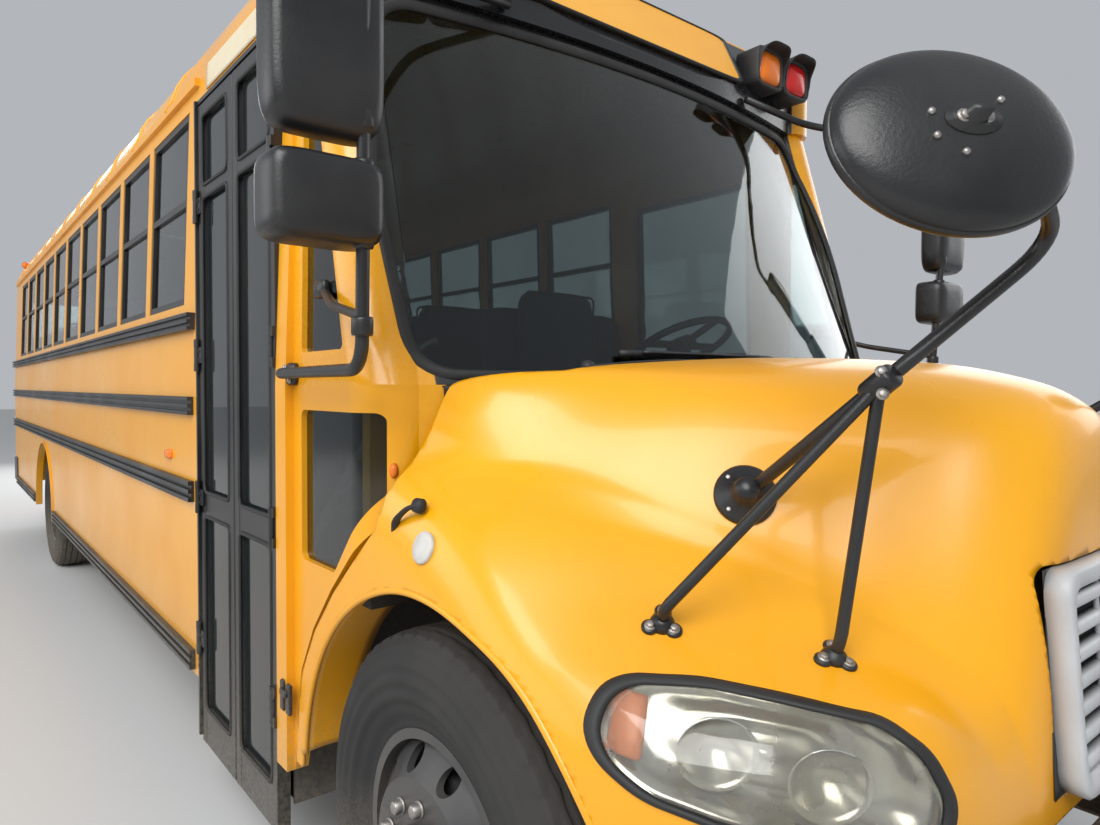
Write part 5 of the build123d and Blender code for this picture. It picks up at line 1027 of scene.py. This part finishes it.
# Tyres: moulded ribs and a shallow ring on the sidewalls, four zigzag grooves and shoulder slots
# in the tread, worn like the one in the photograph.
def tyre(axle_x, centre_y):
    """A tyre turned about y: a section of bead, bulging sidewall and tread, whose radius drops by
    a groove's depth where a zigzag or a shoulder slot passes."""
    side_r = np.concatenate([np.linspace(0.290, 0.330, 5), np.linspace(0.345, 0.505, 21)])
    side_w = np.interp(side_r, (0.29, 0.30, 0.33, 0.37, 0.41, 0.45, 0.475, 0.505),
                       (0.0995, 0.1060, 0.1180, 0.1345, 0.1385, 0.1345, 0.1290, 0.1110))
    side_w = side_w - 0.0018 + 0.0026 * np.cos((side_r - 0.41) * 170)
    tread_w = np.linspace(0.1055, -0.1055, 61)
    tread_r = 0.5195 - 0.010 * (np.abs(tread_w) / 0.1055)**4
    w = np.concatenate([side_w, tread_w, -side_w[::-1]])
    r = np.concatenate([side_r, tread_r, side_r[::-1]])
    turn = np.linspace(0, 2 * np.pi, 270, endpoint=False)[:, None]
    zigzag = 0.005 * np.abs((turn * 45 / np.pi) % 2 - 1)
    drop = 0 * turn * w
    for middle in (-0.066, -0.023, 0.023, 0.066):
        drop = np.maximum(drop, 0.011 * np.clip(1.6 - np.abs(w - middle - zigzag + 0.0025) / 0.0036, 0, 1))
    drop = np.maximum(drop, 0.008 * np.clip(np.cos(turn * 54) * 4 - 1.5, 0, 1) * (np.abs(w) > 0.086))
    drop = drop * (r > 0.500)
    radius = r - drop
    points = track(axle_x + radius * np.cos(turn), centre_y + w, AXLE_HEIGHT + radius * np.sin(turn))
    rows = np.concatenate([points, points[:1]])
    return rows.reshape(-1, 3), grid_faces(271, len(w), True)


# Wheels: a tyre on each rim, ten nuts on round seats, and eight bolts round each hub's cap.
for side, name in ((-1, "right"), (1, "left")):
    for node_name, body, axle_x, centre_y in (("tyre_front_", "wheel_front_", FRONT_AXLE, 1.040),
                                              ("tyre_rear_outer_", "wheels_rear_", REAR_AXLE, 1.039),
                                              ("tyre_rear_inner_", "wheels_rear_", REAR_AXLE, 0.709)):
        made = piece(node_name + name + "_moulded", [tyre(axle_x, side * centre_y)], "tyre_rubber",
                     body + name)
        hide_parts(node_name + name)
    for body, axle_x, face_y, circle, hub_y, hub in (
            ("wheel_front_", FRONT_AXLE, 1.180, 0.1425, 1.214, 0.092),
            ("wheels_rear_", REAR_AXLE, 0.934, 0.1250, 1.064, 0.095)):
        nuts = []
        for place in around((axle_x, side * face_y, AXLE_HEIGHT), (0, -1, 0), circle,
                            np.arange(10) * 36 + 18, (0, 0, -1)):
            nuts.append(turned(((0, 0), (0.019, 0), (0.019, 0.004), (0, 0.004)), place, (0, side, 0), 18))
            nuts.append(turned(((0.016, 0.003), (0.016, 0.020), (0.013, 0.023), (0, 0.023)), place,
                               (0, side, 0), 6))
        nuts.append(turned(((0, -0.002), (hub, -0.002), (hub, 0.002), (hub * 0.7, 0.003),
                            (hub * 0.62, 0.003), (hub * 0.58, 0.0045), (0, 0.005)),
                           (axle_x, side * hub_y, AXLE_HEIGHT), (0, side, 0), 40))
        nuts += [bolt(place, (0, side, 0), 0.0075) for place in
                 around((axle_x, side * (hub_y + 0.001), AXLE_HEIGHT), (0, -1, 0), hub * 0.84,
                        np.arange(8) * 45, (0, 0, -1))]
        piece("nuts_" + body + name, nuts, "bolt_steel", body + name)


# Seats: vinyl over foam, high-backed, with a welt round each back and sewn channels; tube legs.
def pad(low, high, counts, thin=0, channels=(), power=7.0):
    """A crowned box between two corners: a cube's grid drawn onto |x|^k + |y|^k + |z|^k = 1, with
    its thin way narrowed along sewn channels at shares of the y way."""
    low, high = np.asarray(low, float), np.asarray(high, float)
    shapes = []
    for axis in range(3):
        first, second = [n for n in range(3) if n != axis]
        a, b = np.meshgrid(*[np.sin(np.linspace(-1.45, 1.45, counts[way])) / math.sin(1.45)
                             for way in (first, second)], indexing="ij")
        for end in (-1, 1):
            p = np.zeros(a.shape + (3,))
            p[..., first], p[..., second], p[..., axis] = a, b, end
            q = p / (np.abs(p)**power).sum(-1, keepdims=True)**(1 / power)
            for channel in channels:
                q[..., thin] *= 1 - 0.16 * np.exp(-((q[..., 1] - channel) / 0.030)**2)
            wave = np.sin(q[..., 1] * 9 + low[0] * 7) * np.cos(q[..., 2] * 5 + low[0])
            q[..., thin] *= 1 + 0.010 * (wave - 1)
            points = (low + high) / 2 + q * (high - low) / 2
            faces = grid_faces(*a.shape)
            shapes.append((points.reshape(-1, 3), faces if (end > 0) == (axis != 1) else faces[:, ::-1]))
    return joined(*shapes)


def welt(x, y_from, y_to, z_from, z_to):
    """Piping round the face of a seat back."""
    return seal(y_from + 0.012, y_to - 0.012, x, z_from + 0.012, z_to - 0.012, 0.006, (1, 0, 2))


SEAT_LOW, BACK_TOP, AISLE, SEAT_OUTER = 1.412, 2.080, 0.194, 1.176
for side, name in ((-1, "right"), (1, "left")):
    pads, tubes = [], []
    y_from, y_to = sorted((side * AISLE, side * SEAT_OUTER))
    leg = side * (AISLE + 0.090)
    for row in range(10):
        x = 2.190 - WINDOW_PITCH * row
        pads += [pad((x - 0.400, y_from, SEAT_LOW), (x, y_to, 1.520), (12, 26, 7), 2, (-0.33, 0.33), 6.0),
                 pad((x - 0.475, y_from, SEAT_LOW), (x - 0.398, y_to, BACK_TOP), (6, 30, 18), 0,
                     (-0.6, -0.2, 0.2, 0.6), 8.0),
                 welt(x - 0.404, y_from, y_to, 1.53, 2.078), welt(x - 0.470, y_from, y_to, 1.42, 2.078)]
        tubes.append(tube(bent_path([(x - 0.37, leg, 1.074), (x - 0.34, leg, 1.402), (x - 0.10, leg, 1.402),
                                     (x - 0.07, leg, 1.074)], 0.05, 5), 0.014, 8, lift=(0, 1, 0)))
        tubes += [turned(((0, 0), (0.034, 0), (0.034, 0.004), (0, 0.005)), (foot_x, leg, 1.071),
                         (0, 0, 1), 12, up=(1, 0, 0), power=5.0) for foot_x in (x - 0.37, x - 0.07)]
    pads.append(pad((2.382, y_from, 1.300), (2.418, y_to, 2.018), (6, 30, 18), 0, (-0.5, 0.0, 0.5), 9.0))
    tubes += [tube([(2.400, y, 1.072), (2.400, y, 1.20), (2.400, y, 1.34)], 0.015, 10, lift=(0, 1, 0))
              for y in (y_from + 0.06, y_to - 0.06)]
    seat_pads = piece("seat_pads_" + name, pads, "seat_vinyl", "body")
    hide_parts("passenger_seats_" + name)
    piece("seat_frames_" + name, tubes, "black_trim", "body")
driver_pads = piece("driver_pads", [
    pad((2.542, 0.362, 1.452), (3.058, 0.878, 1.558), (18, 18, 8), 2, (-0.45, 0.45), 5.0),
    pad((2.452, 0.372, 1.492), (2.538, 0.868, 2.108), (8, 20, 22), 0, (-0.45, 0.45), 6.0),
    welt(2.532, 0.372, 0.868, 1.57, 2.106)], "seat_vinyl", "body")
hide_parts("driver_seat")
piece("driver_base", [bar((2.66, 0.62, 1.072), (2.66, 0.62, 1.452), 0.022, 0.26, (1, 0, 0)),
                      bar((2.92, 0.62, 1.072), (2.92, 0.62, 1.452), 0.022, 0.26, (1, 0, 0)),
                      bar((2.62, 0.62, 1.20), (2.94, 0.62, 1.20), 0.20, 0.22, (0, 1, 0), 0.02)],
      "black_trim", "body")


# Body seams: roof bow beads, laid on the CAD roof by casting rays at it, rows of rivets beside the
# rub rails, and rubber beads round the rear windows.
def landed(names, starts, way, off=0.0):
    """Where rays from each start first meet the CAD nodes named, moved back by off."""
    trees = [BVHTree.FromPolygons([v.co[:] for v in node[n].data.vertices],
                                  [p.vertices[:] for p in node[n].data.polygons]) for n in names]
    ways = np.broadcast_to(np.asarray(way, float), starts.shape)
    points = np.full(starts.shape, np.nan)
    for index in np.ndindex(starts.shape[:-1]):
        hits = [tree.ray_cast(Vector(starts[index]), Vector(ways[index])) for tree in trees]
        hits = [hit for hit in hits if hit[0] is not None]
        if hits:
            points[index] = np.array(min(hits, key=lambda hit: hit[3])[0]) - off * ways[index]
    return points


fan = np.radians(np.linspace(-72, 72, 60))
outward = track(0.0, np.sin(fan), np.cos(fan))
beads = []
for number in range(12):
    bow_x = 2.761 - WINDOW_PITCH * number
    line = landed(["roof"], np.array((bow_x, 0, 2.0)) + outward * 3.0, -outward)
    line = line[~np.isnan(line[:, 0])]
    if len(line) > 20:
        beads.append(tube(line, 0.009, 8, 0.35, lift=(1, 0, 0)))
piece("roof_beads", beads, "body_yellow", "body")
rivets = []
for side, last_x in ((-1, 2.40), (1, 3.40)):
    for level in (1.895, 1.537, 1.137, 0.590):
        rivets += [turned(((0.0052, -0.0004), (0.0040, 0.0012), (0, 0.0018)),
                          (x, side * HALF_WIDTH, level), (0, side, 0), 6)
                   for x in np.arange(-5.10, last_x, 0.116) if level > 1.2 or abs(x - REAR_AXLE) > 0.66]
piece("rivets", rivets, "body_yellow", "body")
SEAL_X, REAR_DOOR_OPENINGS = REAR_WALL - 0.002, ((1.23, 1.70), (1.92, 2.54))
piece("rear_window_seals", [seal(y - 0.25, y + 0.25, SEAL_X, 1.92, 2.58, 0.010, (1, 0, 2))
                            for y in (-0.79, 0.79)], "rubber_gasket", "body")
piece("rear_door_seals", [seal(-0.34, 0.34, SEAL_X, low, high, 0.010, (1, 0, 2))
                          for low, high in REAR_DOOR_OPENINGS], "rubber_gasket", "rear_door")
piece("rear_door_glass", [bar((REAR_WALL + 0.008, -0.339, (low + high) / 2),
                              (REAR_WALL + 0.008, 0.339, (low + high) / 2), high - low - 0.002, 0.005,
                              (0, 0, 1), 0.002) for low, high in REAR_DOOR_OPENINGS],
      "door_glass", "rear_door", smooth=False)


# Roof hatches: a moulded lid with a raised rim, a groove and a shallow crown.
for name in ("roof_hatch_front", "roof_hatch_rear"):
    corners = np.array([v.co[:] for v in node[name].data.vertices])
    low, high = corners.min(0), corners.max(0)
    middle, half = (low + high) / 2, (high - low) / 2
    rise = np.array(((0, 0), (0.97, 0), (1.0, 0.15), (1.0, 0.55), (0.985, 0.80), (0.93, 0.88), (0.89, 0.70),
                     (0.85, 0.78), (0.60, 0.93), (0.30, 0.99), (0, 1.0))) * (1, high[2] - low[2])
    lid = piece(name + "_lid", [turned(rise, (middle[0], middle[1], low[2]), (0, 0, 1), 96, half[1],
                                       half[0], (1, 0, 0), 9.0)], "body_yellow", name)
    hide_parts(name)


# Small fittings: a blank header plate over the door, the stop arm's border and lamps, and the
# catch and plugs on the cowl.
plate_x, plate_z = np.meshgrid(np.linspace(FRONT_AXLE - 1.590, FRONT_AXLE - 0.820, 30),
                               np.linspace(2.705, 2.800, 8), indexing="ij")
header = landed(["side_wall_right", "roof", "door_frame", "front_cap"],
                track(plate_x, -3.0, plate_z), (0, 1.0, 0), 0.005)
piece("header_plate", [(header.reshape(-1, 3), grid_faces(30, 8))], "cream_plate", "body", wall=0.003,
      closed=False)
COWL_OUT = np.array((0.571, -0.821, 0))
plugs = landed(["cowl"], np.array((at(0.350, -1.80, 1.484), at(0.250, -1.80, 1.390))), -COWL_OUT)
piece("cowl_plugs", [turned(((0, -0.004), (1.0, -0.002), (0.9, 0.006), (0.5, 0.010), (0, 0.011)), place,
                            COWL_OUT, 24, 0.011, 0.019) for place in plugs if not np.isnan(place[0])],
      "amber_lens", "body")
catch = [bar(at(x, -1.221, 0.655), at(x, -1.221, 0.745), 0.026, 0.012, (1, 0, 0))
         for x in (-0.722, -0.676)]
catch.append(bar(at(-0.722, -1.229, 0.715), at(-0.676, -1.229, 0.715), 0.020, 0.010, (0, 0, 1)))
piece("cowl_catch", catch, "black_trim", "body", smooth=False)
STOP = at(-2.150, 1.269, 1.357)
octagon = np.radians(np.arange(8) * 45 + 22.5)
corners = STOP + 0.222 * track(np.cos(octagon), 0.0, np.sin(octagon))
border = np.concatenate([np.linspace(a, b, 6, endpoint=False)
                         for a, b in zip(corners, np.roll(corners, -1, 0))])
piece("stop_border", [tube(border, 0.009, 6, 0.25, (0, 1, 0), loop=True)], "sign_white", "stop_arm")
piece("stop_lamps", [turned(((0, -0.004), (0.040, -0.004), (0.040, 0.004), (0.030, 0.008), (0, 0.010)),
                            STOP + (0, 0, z), (0, 1, 0), 28) for z in (-0.150, 0.150)],
      "red_lens", "stop_arm")
